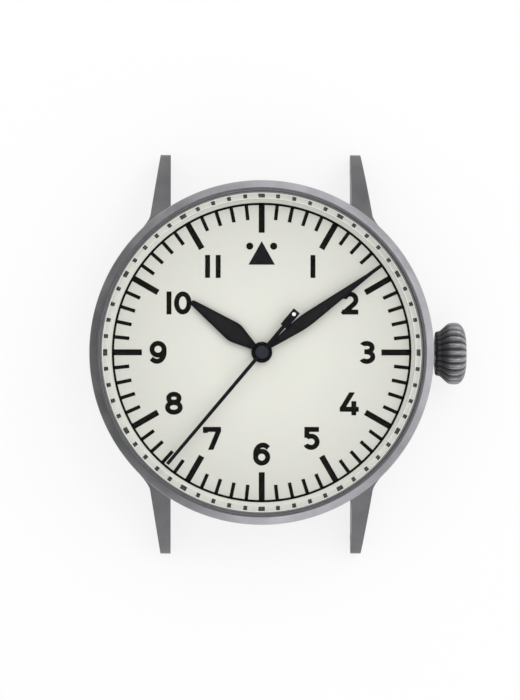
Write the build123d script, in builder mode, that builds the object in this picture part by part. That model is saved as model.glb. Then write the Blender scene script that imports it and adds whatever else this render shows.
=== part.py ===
from build123d import *
import math
import os

os.makedirs("parts", exist_ok=True)

# A hand-wound pilot watch, lying on its case back. The origin is the centre of the flat
# case back, +Z comes out through the dial, +Y points to 12 and +X to 3, where the crown is.

# Rounds inside the case are straight-sided: a shaft's corners lie on its radius, and its
# hole's sides lie outside the hole's radius, so the shaft turns freely
pin_sides = 6
spring_sides = 10  # in each turn of a spring
wheel_sides = 14
rim_sides = 30
pin_limit = 0.8  # largest radius with as few sides as a pin
wheel_limit = 8.0  # largest radius with as few sides as a wheel

# Clearances
cut_overrun = 1.0  # how far a cutter runs past what it cuts
seat_gap = 0.02  # between faces that stay together
running_gap = 0.05  # between a shaft and the hole that it turns in
layer_gap = 0.15  # between wheels that pass over each other

# Case, seen from above
case_radius = 21.0
case_wall = 2.7
movement_radius = case_radius - case_wall
thread_wall = 2.0
back_thread_radius = case_radius - thread_wall
dial_border = 2.1
dial_radius = case_radius - dial_border
back_border = 1.0
back_rim_radius = case_radius - back_border

# Lugs
lug_gap = 22.2  # a 22 mm strap and its play
lug_overhang = 3.65  # past the case at 12 and 6
lug_tip_width = 1.25
lug_root_width = 2.48
lug_root_rise = 2.37  # towards the tip, from where the foot meets the case
lug_flare_width = 2.96
lug_flare_rise = 1.02
lug_foot_width = 4.1
lug_crest_inset = 10.0  # from the case's edge to where the top line starts to fall
lug_top_drop = 0.1
lug_tip_top = 2.4
lug_tip_bottom = 0.3
lug_tip_round = 0.6
lug_heel_inset = 7.0  # from the case's edge
lug_heel_height = 1.7
spring_bar_radius = 0.5
spring_bar_inset = 2.1  # from the lug's end
spring_bar_height = 1.75

# Heights of the layers, counted from the case back
back_floor = 1.45
back_rim_height = 0.75
back_bevel_width = 1.2
back_bevel_height = 0.35
back_gasket_thickness = 0.2
back_gasket_width = 0.8
back_notch_count = 6
back_notch_width = 2.6
back_notch_depth = 1.0
back_notch_height = 0.45
movement_room = 0.1
screw_head_height = 0.2
winding_wheel_thickness = 0.4
bridge_thickness = 0.85
train_space = 2.4
plate_thickness = 1.3
plate_flange = 0.55
dial_thickness = 0.4
hand_room = 1.8
crystal_thickness = 1.8
bezel_ledge = 0.4
bezel_flank = 0.7
bezel_rise = 1.0

# Bezel, crystal and its gasket
crystal_border = 1.55
crystal_radius = case_radius - crystal_border
crystal_bevel = 0.42
crystal_gasket_width = 0.25
bezel_slope_width = 0.85
bezel_lip_depth = 0.22
skirt_border = 2.3
skirt_inner_radius = case_radius - skirt_border

z_movement = back_floor + movement_room
z_ratchet = z_movement + screw_head_height
z_bridge = z_ratchet + winding_wheel_thickness + running_gap
z_train = z_bridge + bridge_thickness
z_plate = z_train + train_space
z_dial = z_plate + plate_thickness
z_dial_top = z_dial + dial_thickness
z_crystal = z_dial_top + hand_room
z_bezel = z_crystal - bezel_ledge
z_bezel_top = z_crystal + bezel_rise
z_case = back_rim_height + back_gasket_thickness
z_shoulder = z_bridge

case_bore = movement_radius + 2 * running_gap
dial_pocket = dial_radius + 2 * running_gap + seat_gap

# Train: tooth counts and modules
barrel_teeth = 48
centre_pinion_leaves = 8
barrel_module = 0.3
centre_teeth = 48
third_pinion_leaves = 6
centre_module = 0.2133
third_teeth = 45
fourth_pinion_leaves = 6
fourth_teeth = 60
escape_pinion_leaves = 6
escape_module = 0.175
escape_teeth = 15
cannon_leaves = 8
minute_teeth = 24
minute_pinion_leaves = 6
hour_teeth = 24
setting_teeth = 24
motion_module = 0.225
winding_pinion_teeth = 8
clutch_teeth = 8
crown_wheel_teeth = 20
ratchet_teeth = 26
winding_module = 0.4

# Tooth shape, as shares of the module and of the tooth pitch
rise_share = 0.9
fall_share = 1.2
leaf_foot_share = 0.62  # a wheel's teeth stand foot to foot, a pinion's leaves do not
club_root_share = 0.8  # of the escape wheel's radius
club_back_share = 0.4
club_tip_share = 0.1
third_level_share = 0.6  # of the room under the centre wheel's pinion
arm_width_share = 0.75  # of the pallet fork's width

# Train sizes
wheel_thickness = 0.18
wheel_rim_width = 0.5
spoke_count = 4
spoke_width = 0.5
barrel_height = 1.4
barrel_tooth_height = 0.3
barrel_wall = 0.35
barrel_cover_thickness = 0.2
barrel_arbor_radius = 1.1
ratchet_square = 1.3
mainspring_turns = 3
mainspring_thickness = 0.3
mainspring_pitch = 0.7
arbor_radius = 0.25
pivot_radius = 0.16
jewel_radius = 0.6
pallet_jewel_radius = 0.45
jewel_thickness = 0.4
seconds_arbor_radius = 0.22
centre_bore = 0.28
centre_arbor_radius = 0.55
cannon_radius = 0.72
hour_tube_radius = 1.05
escape_radius = 2.7
pallet_span = 30.0  # degrees each side of the line of centres
fork_reach = 4.2  # from the pallet arbor to the balance staff
balance_radius = 4.5
balance_rim_width = 0.5
balance_rim_height = 0.45
roller_radius = 1.0
impulse_radius = 0.85
impulse_pin_radius = 0.12
hairspring_turns = 3
hairspring_inner = 0.8
hairspring_pitch = 0.42
hairspring_thickness = 0.08
hairspring_height = 0.14

# Directions of the axes from the centre, anticlockwise from 3 o'clock
barrel_angle = 60.0
third_angle = 250.0
escape_angle = 180.0
balance_angle = 125.0  # from the escape wheel
minute_wheel_angle = -20.0
setting_wheel_angle = 8.0  # from the minute wheel

# Crown and winding work along the stem
stem_radius = 0.6
stem_drop = 2.75  # from the dial down to the stem's axis
crown_radius = 3.8
crown_base_radius = 2.75
crown_shoulder_radius = 3.65
crown_end_radius = 2.5
crown_cheek_share = 0.91
crown_length = 3.75
crown_flutes = 24
flute_share = 0.92
crown_gap = 0.45
crown_bore_depth = 2.2
crown_seat_depth = 0.8  # of the stem's thread, past the bore
crown_tube_radius = 1.3
crown_tube_wall = 0.45
crown_tube_reach = 1.9  # past the case
crown_gasket_length = 0.4
crown_travel = 1.0
clutch_travel = 0.7
winding_pinion_length = 1.1
clutch_length = 1.7
clutch_radius = 1.8
clutch_groove_width = 0.6
clutch_groove_depth = 0.6
stem_groove_width = 0.7
stem_groove_depth = 0.25

# Hands and their posts
hour_hand_level = 0.5
hand_thickness = 0.14
hand_step = 0.42
boss_height = 0.32
hour_boss_radius = 1.28
minute_boss_radius = 1.05
second_boss_radius = 0.8
hour_hand_angle = 305.7  # clockwise from 12
minute_hand_angle = 54.1
second_hand_angle = 220.2
hour_hand_length = 10.6
hour_hand_width = 2.44
hour_hand_belly = 4.07
hour_hand_neck = 0.66
hour_hand_tip = 0.62
minute_hand_length = 18.0
minute_hand_width = 1.66
minute_hand_belly = 6.3
minute_hand_neck = 0.5
minute_hand_tip = 0.36
second_hand_length = 17.8
second_hand_width = 0.3
second_hand_tip = 0.22
counterweight_start = 4.08
counterweight_end = 6.6
counterweight_width = 0.87

# Small sizes of the movement
bridge_inset = 0.4
bridge_radius = movement_radius - bridge_inset
bridge_split = 1.5  # from the centre to the joint between the two large bridges
bridge_joint = 0.2
foot_width = 1.45
barrel_foot_lead = 50.0  # degrees before the barrel's direction, and below after it
barrel_foot_trail = 60.0
small_foot_angles = (-24.0, -13.0)
train_foot_spread = 75.0  # degrees each side of the third wheel's direction
barrel_screw_lead = 40.0
barrel_screw_trail = 45.0
train_screw_spread = 55.0
cock_thickness = 0.65
cock_width = 2.8
cock_foot_width = 5.0
window_room = 0.35
pallet_bridge_thickness = 0.3
pallet_bridge_width = 1.2
pallet_bridge_span = 2.6
pallet_bridge_offset = 0.8
screw_head_radius = 0.6
screw_shank_radius = 0.35
screw_shank_length = 0.9
screw_inset = 0.9
clamp_length = 3.0
clamp_width = 2.4
clamp_thickness = 0.25
clamp_screw_inset = 1.3
clamp_screw_reach = movement_radius - clamp_screw_inset
clamp_angles = (75.0, 255.0)
recess_floor = 0.4
post_radius = 0.36
stem_block_width = 4.4
stem_block_bottom = 0.95  # below the bridges' inner face towards the stem
pilot_length = 0.9
pilot_width = 2.4
pilot_radius = 0.4
lever_thickness = 0.25
lever_width = 1.1
lever_pin_radius = 0.22
lever_pivot_reach = 3.0
yoke_pivot_reach = 5.0
yoke_pivot_offset = 0.6
click_length = 3.1
click_nose = 0.3
click_width = 0.9
click_angle = 160.0  # from the ratchet wheel's centre
click_post_radius = 0.4
click_lean = 60.0  # degrees back from the ratchet wheel's radius
click_spring_width = 0.22
click_spring_span = 60.0  # degrees each side of its middle
stone_length = 0.5
stone_width = 0.26
fork_width = 0.5
horn_length = 0.35
dial_foot_radius = 0.35
dial_foot_length = 1.0
dial_foot_inset = 1.9
dial_foot_reach = movement_radius - dial_foot_inset
dial_foot_angle = 35.0


def polar(distance, degrees, start=(0, 0)):
    """Point at a distance and a direction, anticlockwise from +X, from a start point."""
    angle = math.radians(degrees)
    return (start[0] + distance * math.cos(angle), start[1] + distance * math.sin(angle))


def turned_frame(place, degrees, height):
    """Plane that faces up at a place, with its X axis turned by an angle."""
    return Plane(origin=(*place, height), x_dir=(*polar(1, degrees), 0), z_dir=(0, 0, 1))


def turn(*profile, mode=Mode.ADD):
    """Revolve a closed outline of (radius, height) points about the watch's centre line."""
    with BuildSketch(Plane.XZ) as section:
        with BuildLine():
            Polyline(*profile, close=True)
        make_face()
    revolve(section.sketch, axis=Axis.Z, mode=mode)


def faceted(radius, hole=False, mode=Mode.ADD):
    """Straight-sided round. A solid stays inside the radius, and a hole stays outside it."""
    sides = rim_sides
    if radius <= wheel_limit:
        sides = wheel_sides
    if radius <= pin_limit:
        sides = pin_sides
    RegularPolygon(radius, sides, major_radius=not hole, mode=mode)


def post(place, radius, low, high, mode=Mode.ADD):
    """Straight-sided post, or hole, between two heights."""
    with BuildSketch(Plane.XY.offset(low)) as section:
        with Locations(place):
            faceted(radius, mode == Mode.SUBTRACT)
    extrude(section.sketch, amount=high - low, mode=mode)


def ring(place, inner, outer, low, high):
    """Round post with a bore."""
    with BuildSketch(Plane.XY.offset(low)) as section:
        with Locations(place):
            faceted(outer)
            faceted(inner, True, Mode.SUBTRACT)
    extrude(section.sketch, amount=high - low)


def plate(plane, points, thickness, mode=Mode.ADD):
    """Flat piece with a straight-sided outline, drawn on a plane."""
    with BuildSketch(plane) as section:
        with BuildLine():
            Polyline(*points, close=True)
        make_face()
    extrude(section.sketch, amount=thickness, mode=mode)


def axle(radius, start, end, mode=Mode.ADD):
    """Straight-sided length along the stem's axis, between two distances from the centre."""
    with BuildSketch(Plane.YZ.offset(start)) as section:
        with Locations((0, z_stem)):
            faceted(radius, mode == Mode.SUBTRACT)
    extrude(section.sketch, amount=end - start, mode=mode)


def rim_block(start, end, inner, outer, low, high):
    """Piece of a ring round the watch's centre, between two directions."""
    steps = math.ceil((end - start) * rim_sides / 360)
    directions = [start + (end - start) * step / steps for step in range(steps + 1)]
    outer_points = [polar(outer, direction) for direction in directions]
    inner_points = [polar(inner, direction) for direction in reversed(directions)]
    plate(Plane.XY.offset(low), outer_points + inner_points, high - low)


def tooth_points(teeth, module, phase, foot_share=1, place=(0, 0)):
    """Outline of a wheel whose first tooth points in the direction of the phase."""
    pitch = 360 / teeth
    tip = module * (teeth / 2 + rise_share)
    root = module * (teeth / 2 - fall_share)
    points = []
    for tooth in range(teeth):
        middle = phase + tooth * pitch
        points.append(polar(root, middle - pitch * foot_share / 2, place))
        points.append(polar(tip, middle, place))
        if foot_share < 1:
            points.append(polar(root, middle + pitch * foot_share / 2, place))
    return points


def gear(place, teeth, module, low, thickness, phase, foot_share=1):
    """Toothed disc at a place."""
    plate(Plane.XY.offset(low), tooth_points(teeth, module, phase, foot_share, place), thickness)


def windows(place, inner, outer, low, thickness):
    """Cut the openings between a wheel's spokes."""
    for window in range(spoke_count):
        middle = (window + 1 / 2) * 360 / spoke_count
        half_inner = 180 / spoke_count - math.degrees(spoke_width / inner) / 2
        half_outer = 180 / spoke_count - math.degrees(spoke_width / outer) / 2
        points = [
            polar(inner, middle - half_inner, place),
            polar(outer, middle - half_outer, place),
            polar(outer, middle + half_outer, place),
            polar(inner, middle + half_inner, place),
        ]
        plate(Plane.XY.offset(low - cut_overrun), points, thickness + 2 * cut_overrun, Mode.SUBTRACT)


def spoked_wheel(place, teeth, module, low, hub, phase):
    """Thin toothed wheel with spokes between its hub and its rim."""
    gear(place, teeth, module, low, wheel_thickness, phase)
    windows(place, hub, module * (teeth / 2 - fall_share) - wheel_rim_width, low, wheel_thickness)


def pinion(place, leaves, module, low, high, phase):
    """Small pinion with blunt leaves, between two heights."""
    gear(place, leaves, module, low, high - low, phase, leaf_foot_share)


def meshed_phase(direction, teeth, phase, partner_teeth):
    """Phase of a wheel whose gap meets its partner's tooth in a direction from the partner."""
    pitches = (direction - phase) * teeth / 360
    lead = pitches - math.floor(pitches)
    return direction + 180 + (lead + 1 / 2) * 360 / partner_teeth


def pinned_arbor(place, low, high):
    """Wheel arbor between the plates, with a thin pivot running in a jewel at each end."""
    post(place, arbor_radius, low + running_gap, high - running_gap)
    post(place, pivot_radius, low - jewel_thickness, high + jewel_thickness)


def screw(place, head_low):
    """Cheese-head screw that goes in from the back of the movement."""
    head_high = head_low + screw_head_height
    post(place, screw_head_radius, head_low, head_high)
    post(place, screw_shank_radius, head_high, head_high + screw_shank_length)


def screw_hole(place, face):
    """Blind hole for a screw whose head sits on a face that looks back."""
    depth = screw_shank_length + running_gap
    post(place, screw_shank_radius + seat_gap, face - cut_overrun, face + depth, Mode.SUBTRACT)


# Centre distances and places of the axes
barrel_distance = barrel_module * (barrel_teeth + centre_pinion_leaves) / 2
centre_distance = centre_module * (centre_teeth + third_pinion_leaves) / 2
third_module = 2 * centre_distance / (third_teeth + fourth_pinion_leaves)
escape_distance = escape_module * (fourth_teeth + escape_pinion_leaves) / 2
motion_distance = motion_module * (cannon_leaves + minute_teeth) / 2
hour_module = 2 * motion_distance / (minute_pinion_leaves + hour_teeth)
setting_distance = motion_module * (minute_teeth + setting_teeth) / 2
winding_distance = winding_module * (crown_wheel_teeth + ratchet_teeth) / 2
pallet_distance = escape_radius / math.cos(math.radians(pallet_span))

centre = (0, 0)
barrel_place = polar(barrel_distance, barrel_angle)
third_place = polar(centre_distance, third_angle)
escape_place = polar(escape_distance, escape_angle)
pallet_place = polar(pallet_distance, balance_angle, escape_place)
balance_place = polar(fork_reach, balance_angle, pallet_place)
minute_place = polar(motion_distance, minute_wheel_angle)
setting_place = polar(setting_distance, setting_wheel_angle, minute_place)
crown_wheel_place = (barrel_place[0] + math.sqrt(winding_distance**2 - barrel_place[1] ** 2), 0)
cock_angle = math.degrees(math.atan2(balance_place[1], balance_place[0]))
balance_reach = math.hypot(*balance_place)

# Heights inside the movement
z_fourth = z_train + layer_gap
z_barrel = z_fourth + wheel_thickness + layer_gap
z_barrel_top = z_barrel + barrel_height
z_barrel_teeth = z_barrel_top - barrel_tooth_height
z_centre = z_barrel_top + layer_gap
z_centre_pinion = z_barrel_teeth - running_gap
z_third = z_train + (z_centre_pinion - z_train) * third_level_share
z_escape = z_third + wheel_thickness + 2 * layer_gap
z_escape_top = z_escape + wheel_thickness
z_balance = z_train + layer_gap
z_pallet_bridge = z_balance + balance_rim_height + layer_gap
z_recess = z_plate + recess_floor
z_stem = z_dial - stem_drop

# Places along the stem
mesh_reach = crown_wheel_place[0] + winding_module * crown_wheel_teeth / 2
winding_pinion_start = mesh_reach - winding_pinion_length / 2
winding_pinion_end = mesh_reach + winding_pinion_length / 2
clutch_end = winding_pinion_start - running_gap
clutch_start = clutch_end - clutch_length
pilot_end = clutch_start - clutch_travel - layer_gap
pilot_start = pilot_end - pilot_length
stem_block_start = winding_pinion_end + layer_gap
lever_reach = stem_block_start + lever_width
crown_start = case_radius + crown_gap
winding_pinion_radius = winding_module * (winding_pinion_teeth / 2 + rise_share)

# The four lugs, each soldered to the case with its foot against the case's round
with BuildPart() as lugs:
    inner_x = lug_gap / 2
    foot_x = inner_x + lug_foot_width
    foot_y = math.sqrt(case_radius**2 - foot_x**2)
    lug_end = case_radius + lug_overhang
    with BuildSketch(Plane.XY):
        with BuildLine():
            root = (inner_x + lug_root_width, foot_y + lug_root_rise)
            flare = (inner_x + lug_flare_width, foot_y + lug_flare_rise)
            foot = (foot_x, foot_y)
            Polyline(foot, (inner_x, foot_y - lug_flare_width), (inner_x, lug_end))
            Polyline((inner_x, lug_end), (inner_x + lug_tip_width, lug_end), root)
            ThreePointArc(root, flare, foot)
        make_face()
        Circle(case_radius + seat_gap, mode=Mode.SUBTRACT)
    extrude(amount=z_bezel)
    with BuildSketch(Plane.YZ):
        with BuildLine():
            crest = (case_radius - lug_crest_inset, z_bezel - lug_top_drop)
            tip_top = (lug_end - lug_tip_round / 2, lug_tip_top)
            tip_bottom = (lug_end - lug_tip_round, lug_tip_bottom)
            heel = (case_radius - lug_heel_inset, lug_heel_height)
            TangentArc(crest, tip_top, tangent=(1, 0))
            ThreePointArc(tip_top, (lug_end, (lug_tip_top + lug_tip_bottom) / 2), tip_bottom)
            Polyline(tip_bottom, heel, (crest[0], lug_heel_height), crest)
        make_face()
    extrude(amount=case_radius, mode=Mode.INTERSECT)
    with BuildSketch(Plane.YZ):
        with Locations((lug_end - spring_bar_inset, spring_bar_height)):
            Circle(spring_bar_radius)
    extrude(amount=case_radius, mode=Mode.SUBTRACT)
    mirror(about=Plane.YZ)
    mirror(about=Plane.XZ)
lugs.part.label = "lugs"
export_step(lugs.part, "parts/lugs.step")

# Case middle: one turned ring with the seats for the back, the movement and the dial
with BuildPart() as case_middle:
    turn((0, z_case), (case_radius, z_case), (case_radius, z_bezel), (0, z_bezel))
    z_ledge = z_dial - plate_flange
    tube_hole = crown_tube_radius + seat_gap
    post(centre, case_bore, z_case - cut_overrun, z_bezel, Mode.SUBTRACT)
    post(centre, back_thread_radius, z_case - cut_overrun, z_shoulder, Mode.SUBTRACT)
    post(centre, dial_pocket, z_ledge, z_bezel + cut_overrun, Mode.SUBTRACT)
    axle(tube_hole, movement_radius - cut_overrun, case_radius + cut_overrun, Mode.SUBTRACT)
case_middle.part.label = "case_middle"
export_step(case_middle.part, "parts/case_middle.step")

# Bezel, with the skirt that frames the dial and holds it down
with BuildPart() as bezel:
    crystal_bore = crystal_radius + crystal_gasket_width + 2 * seat_gap
    skirt_radius = dial_pocket - seat_gap
    turn(
        (0, z_bezel + seat_gap),
        (case_radius, z_bezel + seat_gap),
        (case_radius, z_bezel + bezel_flank),
        (case_radius - bezel_slope_width, z_bezel_top),
        (0, z_bezel_top),
    )
    post(centre, skirt_radius, z_dial_top + seat_gap, z_bezel_top)
    post(centre, crystal_bore, z_crystal, z_bezel_top + cut_overrun, Mode.SUBTRACT)
    post(centre, skirt_inner_radius, z_dial_top - cut_overrun, z_bezel_top, Mode.SUBTRACT)
bezel.part.label = "bezel"
export_step(bezel.part, "parts/bezel.step")

# Flat sapphire crystal with a bevelled edge
with BuildPart() as crystal:
    with BuildSketch(Plane.XY.offset(z_crystal)):
        Circle(crystal_radius)
    extrude(amount=crystal_thickness)
    chamfer(crystal.edges().sort_by(Axis.Z)[-1], crystal_bevel)
crystal.part.label = "crystal"
export_step(crystal.part, "parts/crystal.step")

with BuildPart() as crystal_gasket:
    gasket_inner = crystal_radius + seat_gap
    gasket_top = z_bezel_top - bezel_lip_depth
    ring(centre, gasket_inner, gasket_inner + crystal_gasket_width, z_crystal, gasket_top)
crystal_gasket.part.label = "crystal_gasket"
export_step(crystal_gasket.part, "parts/crystal_gasket.step")

# Screwed case back with notches for the wrench
with BuildPart() as case_back:
    turn(
        (0, 0),
        (back_rim_radius - back_bevel_width, 0),
        (back_rim_radius, back_bevel_height),
        (back_rim_radius, back_rim_height),
        (0, back_rim_height),
    )
    post(centre, back_thread_radius - running_gap, back_rim_height, back_floor)
    with BuildSketch(Plane.XY.offset(-cut_overrun)):
        with PolarLocations(back_rim_radius, back_notch_count, start_angle=180 / back_notch_count):
            Rectangle(2 * back_notch_depth, back_notch_width)
    extrude(amount=cut_overrun + back_notch_height, mode=Mode.SUBTRACT)
case_back.part.label = "case_back"
export_step(case_back.part, "parts/case_back.step")

with BuildPart() as case_back_gasket:
    gasket_start = back_thread_radius + running_gap
    ring(centre, gasket_start, gasket_start + back_gasket_width, back_rim_height, z_case)
case_back_gasket.part.label = "case_back_gasket"
export_step(case_back_gasket.part, "parts/case_back_gasket.step")

# Dial with two feet that stand in the main plate
with BuildPart() as dial:
    post(centre, dial_radius, z_dial, z_dial_top)
    for side in (0, 180):
        foot_place = polar(dial_foot_reach, dial_foot_angle + side)
        post(foot_place, dial_foot_radius, z_dial - dial_foot_length, z_dial)
    dial_hole = hour_tube_radius + 2 * running_gap
    post(centre, dial_hole, z_dial - cut_overrun, z_dial_top + cut_overrun, Mode.SUBTRACT)
dial.part.label = "dial"
export_step(dial.part, "parts/dial.step")

# Main plate: a flanged disc with the recess for the motion work, the slot for the winding
# pinions, the stem's two bearing blocks, and a bored seat for each jewel and post
slot_start = pilot_end + running_gap
slot_half = winding_pinion_radius + layer_gap
setting_tip = motion_module * (setting_teeth / 2 + rise_share)
minute_tip = motion_module * (minute_teeth / 2 + rise_share)
hour_tip = hour_module * (hour_teeth / 2 + rise_share)
lever_pivot = (lever_reach - stem_groove_width / 2, -lever_pivot_reach)
yoke_reach = clutch_start + clutch_length / 2
yoke_pivot = (yoke_reach + yoke_pivot_offset, yoke_pivot_reach)
with BuildPart() as main_plate:
    post(centre, movement_radius, z_plate, z_dial - plate_flange)
    post(centre, dial_radius, z_dial - plate_flange, z_dial)
    with BuildSketch(Plane.XY.offset(z_plate)):
        with Locations((stem_block_start, 0)):
            block_length = bridge_radius - stem_block_start
            Rectangle(block_length, stem_block_width, align=(Align.MIN, Align.CENTER))
        with Locations((pilot_start, 0)):
            Rectangle(pilot_length, pilot_width, align=(Align.MIN, Align.CENTER))
    extrude(amount=z_stem - stem_block_bottom - z_plate)
    with BuildSketch(Plane.XY.offset(z_recess)):
        faceted(hour_tip + layer_gap, True)
        with Locations(minute_place):
            faceted(minute_tip + layer_gap, True)
        with Locations(setting_place):
            faceted(setting_tip + layer_gap, True)
        with Locations((slot_start, 0)):
            recess_length = lever_reach + lever_width / 2 + crown_travel - slot_start
            recess_breadth = 2 * yoke_pivot_reach + lever_width + layer_gap
            Rectangle(recess_length, recess_breadth, align=(Align.MIN, Align.CENTER))
    extrude(amount=plate_thickness, mode=Mode.SUBTRACT)
    with BuildSketch(Plane.XY.offset(z_plate - cut_overrun)):
        with Locations((slot_start, 0)):
            Rectangle(stem_block_start - slot_start, 2 * slot_half, align=(Align.MIN, Align.CENTER))
    extrude(amount=plate_thickness + cut_overrun, mode=Mode.SUBTRACT)
    with BuildSketch(Plane.XY.offset(z_stem)):
        with Locations((lever_reach - stem_groove_width, 0)):
            slot_length = crown_travel + 2 * stem_groove_width
            slot_breadth = 2 * lever_pin_radius + lever_width
            Rectangle(slot_length, slot_breadth, align=(Align.MIN, Align.CENTER))
    extrude(amount=z_dial - z_stem, mode=Mode.SUBTRACT)
    axle(stem_radius + running_gap, stem_block_start - cut_overrun, case_radius, Mode.SUBTRACT)
    axle(pilot_radius + running_gap, pilot_start - cut_overrun, pilot_end + cut_overrun, Mode.SUBTRACT)
    hole_low = z_plate - cut_overrun
    hole_high = z_dial + cut_overrun
    for place in (escape_place, pallet_place, balance_place):
        post(place, jewel_radius + seat_gap, hole_low, z_plate + jewel_thickness, Mode.SUBTRACT)
    post(third_place, pivot_radius + running_gap, hole_low, hole_high, Mode.SUBTRACT)
    post(centre, centre_arbor_radius + running_gap, hole_low, z_dial, Mode.SUBTRACT)
    post(barrel_place, barrel_arbor_radius + running_gap, hole_low, hole_high, Mode.SUBTRACT)
    for side in (0, 180):
        foot_place = polar(dial_foot_reach, dial_foot_angle + side)
        post(foot_place, dial_foot_radius + running_gap, hole_low, hole_high, Mode.SUBTRACT)
    z_post_top = z_dial - layer_gap
    post(minute_place, post_radius, z_recess, z_post_top)
    post(setting_place, post_radius, z_recess, z_post_top)
    post(lever_pivot, post_radius, z_recess, z_post_top)
    post(yoke_pivot, post_radius, z_recess, z_post_top)
main_plate.part.label = "main_plate"
export_step(main_plate.part, "parts/main_plate.step")

# Bridges: two halves of one disc on feet at the rim, cut round the balance, with the cock
# between them and the small pallet bridge under the balance
window_radius = balance_radius + window_room
foot_inner = bridge_radius - foot_width
cock_slot = cock_foot_width + 2 * bridge_joint
barrel_foot = (barrel_angle - barrel_foot_lead, barrel_angle + barrel_foot_trail)
barrel_feet = (barrel_foot, small_foot_angles)
train_feet = ((third_angle - train_foot_spread, third_angle + train_foot_spread),)
barrel_screw_angles = (barrel_angle - barrel_screw_lead, barrel_angle + barrel_screw_trail)
train_screw_angles = (third_angle - train_screw_spread, third_angle + train_screw_spread)


def bridge_half(keep_side, feet):
    """Half of the bridge disc on its feet, on one side of the joint, clear of the balance."""
    joint = Location((*polar(bridge_split, barrel_angle), 0), (0, 0, barrel_angle))
    post(centre, bridge_radius, z_bridge, z_train)
    for start, end in feet:
        rim_block(start, end, foot_inner, bridge_radius, z_train, z_plate)
    with BuildSketch(Plane.XY.offset(z_bridge - cut_overrun)) as other_half:
        with Locations(joint):
            with Locations((keep_side * bridge_joint / 2, 0)):
                side = Align.MAX if keep_side > 0 else Align.MIN
                Rectangle(2 * movement_radius, 3 * movement_radius, align=(side, Align.CENTER))
    extrude(other_half.sketch, amount=train_space + bridge_thickness + 2 * cut_overrun, mode=Mode.SUBTRACT)
    window_height = z_plate - z_bridge + 2 * cut_overrun
    with BuildSketch(turned_frame(balance_place, cock_angle, z_bridge - cut_overrun)) as window:
        faceted(window_radius, True)
        Rectangle(movement_radius, cock_slot, align=(Align.MIN, Align.CENTER))
    extrude(window.sketch, amount=window_height, mode=Mode.SUBTRACT)


with BuildPart() as barrel_bridge:
    bridge_half(1, barrel_feet)
    bore_low = z_bridge - cut_overrun
    bore_high = z_train + cut_overrun
    post(barrel_place, barrel_arbor_radius + running_gap, bore_low, bore_high, Mode.SUBTRACT)
    with BuildSketch(Plane.XY.offset(bore_low)):
        with Locations((slot_start, 0)):
            Rectangle(bridge_radius, 2 * slot_half, align=(Align.MIN, Align.CENTER))
    extrude(amount=train_space + 2 * cut_overrun, mode=Mode.SUBTRACT)
    for angle in barrel_screw_angles:
        screw_hole(polar(bridge_radius - screw_inset, angle), z_bridge)
    screw_hole(polar(clamp_screw_reach, clamp_angles[0]), z_bridge - clamp_thickness)
    ratchet_tip = winding_module * (ratchet_teeth / 2 + rise_share)
    click_tip = polar(ratchet_tip + running_gap, click_angle, barrel_place)
    click_pivot = polar(click_length, click_angle - click_lean, click_tip)
    post(click_pivot, click_post_radius, z_ratchet, z_bridge)
    post(crown_wheel_place, jewel_radius, z_ratchet, z_bridge)
barrel_bridge.part.label = "barrel_bridge"
export_step(barrel_bridge.part, "parts/barrel_bridge.step")

with BuildPart() as train_bridge:
    bridge_half(-1, train_feet)
    post(escape_place, jewel_radius + seat_gap, bore_low, bore_high, Mode.SUBTRACT)
    post(third_place, pivot_radius + running_gap, bore_low, bore_high, Mode.SUBTRACT)
    post(centre, seconds_arbor_radius + running_gap, bore_low, bore_high, Mode.SUBTRACT)
    for angle in train_screw_angles:
        screw_hole(polar(bridge_radius - screw_inset, angle), z_bridge)
    screw_hole(polar(clamp_screw_reach, clamp_angles[1]), z_bridge - clamp_thickness)
train_bridge.part.label = "train_bridge"
export_step(train_bridge.part, "parts/train_bridge.step")

with BuildPart() as balance_cock:
    cock_reach = bridge_radius - balance_reach
    z_cock = z_bridge + cock_thickness
    with BuildSketch(turned_frame(balance_place, cock_angle, z_bridge)):
        faceted(cock_width / 2)
        with BuildLine():
            Polyline(
                (0, -cock_width / 2),
                (cock_reach, -cock_foot_width / 2),
                (cock_reach, cock_foot_width / 2),
                (0, cock_width / 2),
                close=True,
            )
        make_face()
    extrude(amount=cock_thickness)
    with BuildSketch(turned_frame(balance_place, cock_angle, z_bridge)):
        with Locations((cock_reach, 0)):
            Rectangle(cock_reach - window_radius, cock_foot_width, align=(Align.MAX, Align.CENTER))
    extrude(amount=z_plate - z_bridge)
    post(balance_place, jewel_radius + seat_gap, z_bridge - cut_overrun, z_cock + cut_overrun, Mode.SUBTRACT)
    screw_hole(polar(bridge_radius - screw_inset, cock_angle), z_bridge)
balance_cock.part.label = "balance_cock"
export_step(balance_cock.part, "parts/balance_cock.step")

with BuildPart() as pallet_bridge:
    with BuildSketch(turned_frame(pallet_place, balance_angle, z_pallet_bridge)):
        with Locations((pallet_bridge_offset / 2, 0)):
            Rectangle(pallet_bridge_offset + pallet_bridge_width, 2 * pallet_bridge_span)
    extrude(amount=pallet_bridge_thickness)
    with BuildSketch(turned_frame(pallet_place, balance_angle, z_pallet_bridge)):
        for side in (-1, 1):
            with Locations((pallet_bridge_offset, side * pallet_bridge_span)):
                faceted(pallet_bridge_width / 2)
    extrude(amount=z_plate - z_pallet_bridge)
    post(pallet_place, pallet_jewel_radius + seat_gap, z_pallet_bridge - cut_overrun, z_escape, Mode.SUBTRACT)
pallet_bridge.part.label = "pallet_bridge"
export_step(pallet_bridge.part, "parts/pallet_bridge.step")

with BuildPart() as bridge_screws:
    for angle in (*barrel_screw_angles, *train_screw_angles, cock_angle):
        screw(polar(bridge_radius - screw_inset, angle), z_bridge - screw_head_height)
bridge_screws.part.label = "bridge_screws"
export_step(bridge_screws.part, "parts/bridge_screws.step")

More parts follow.
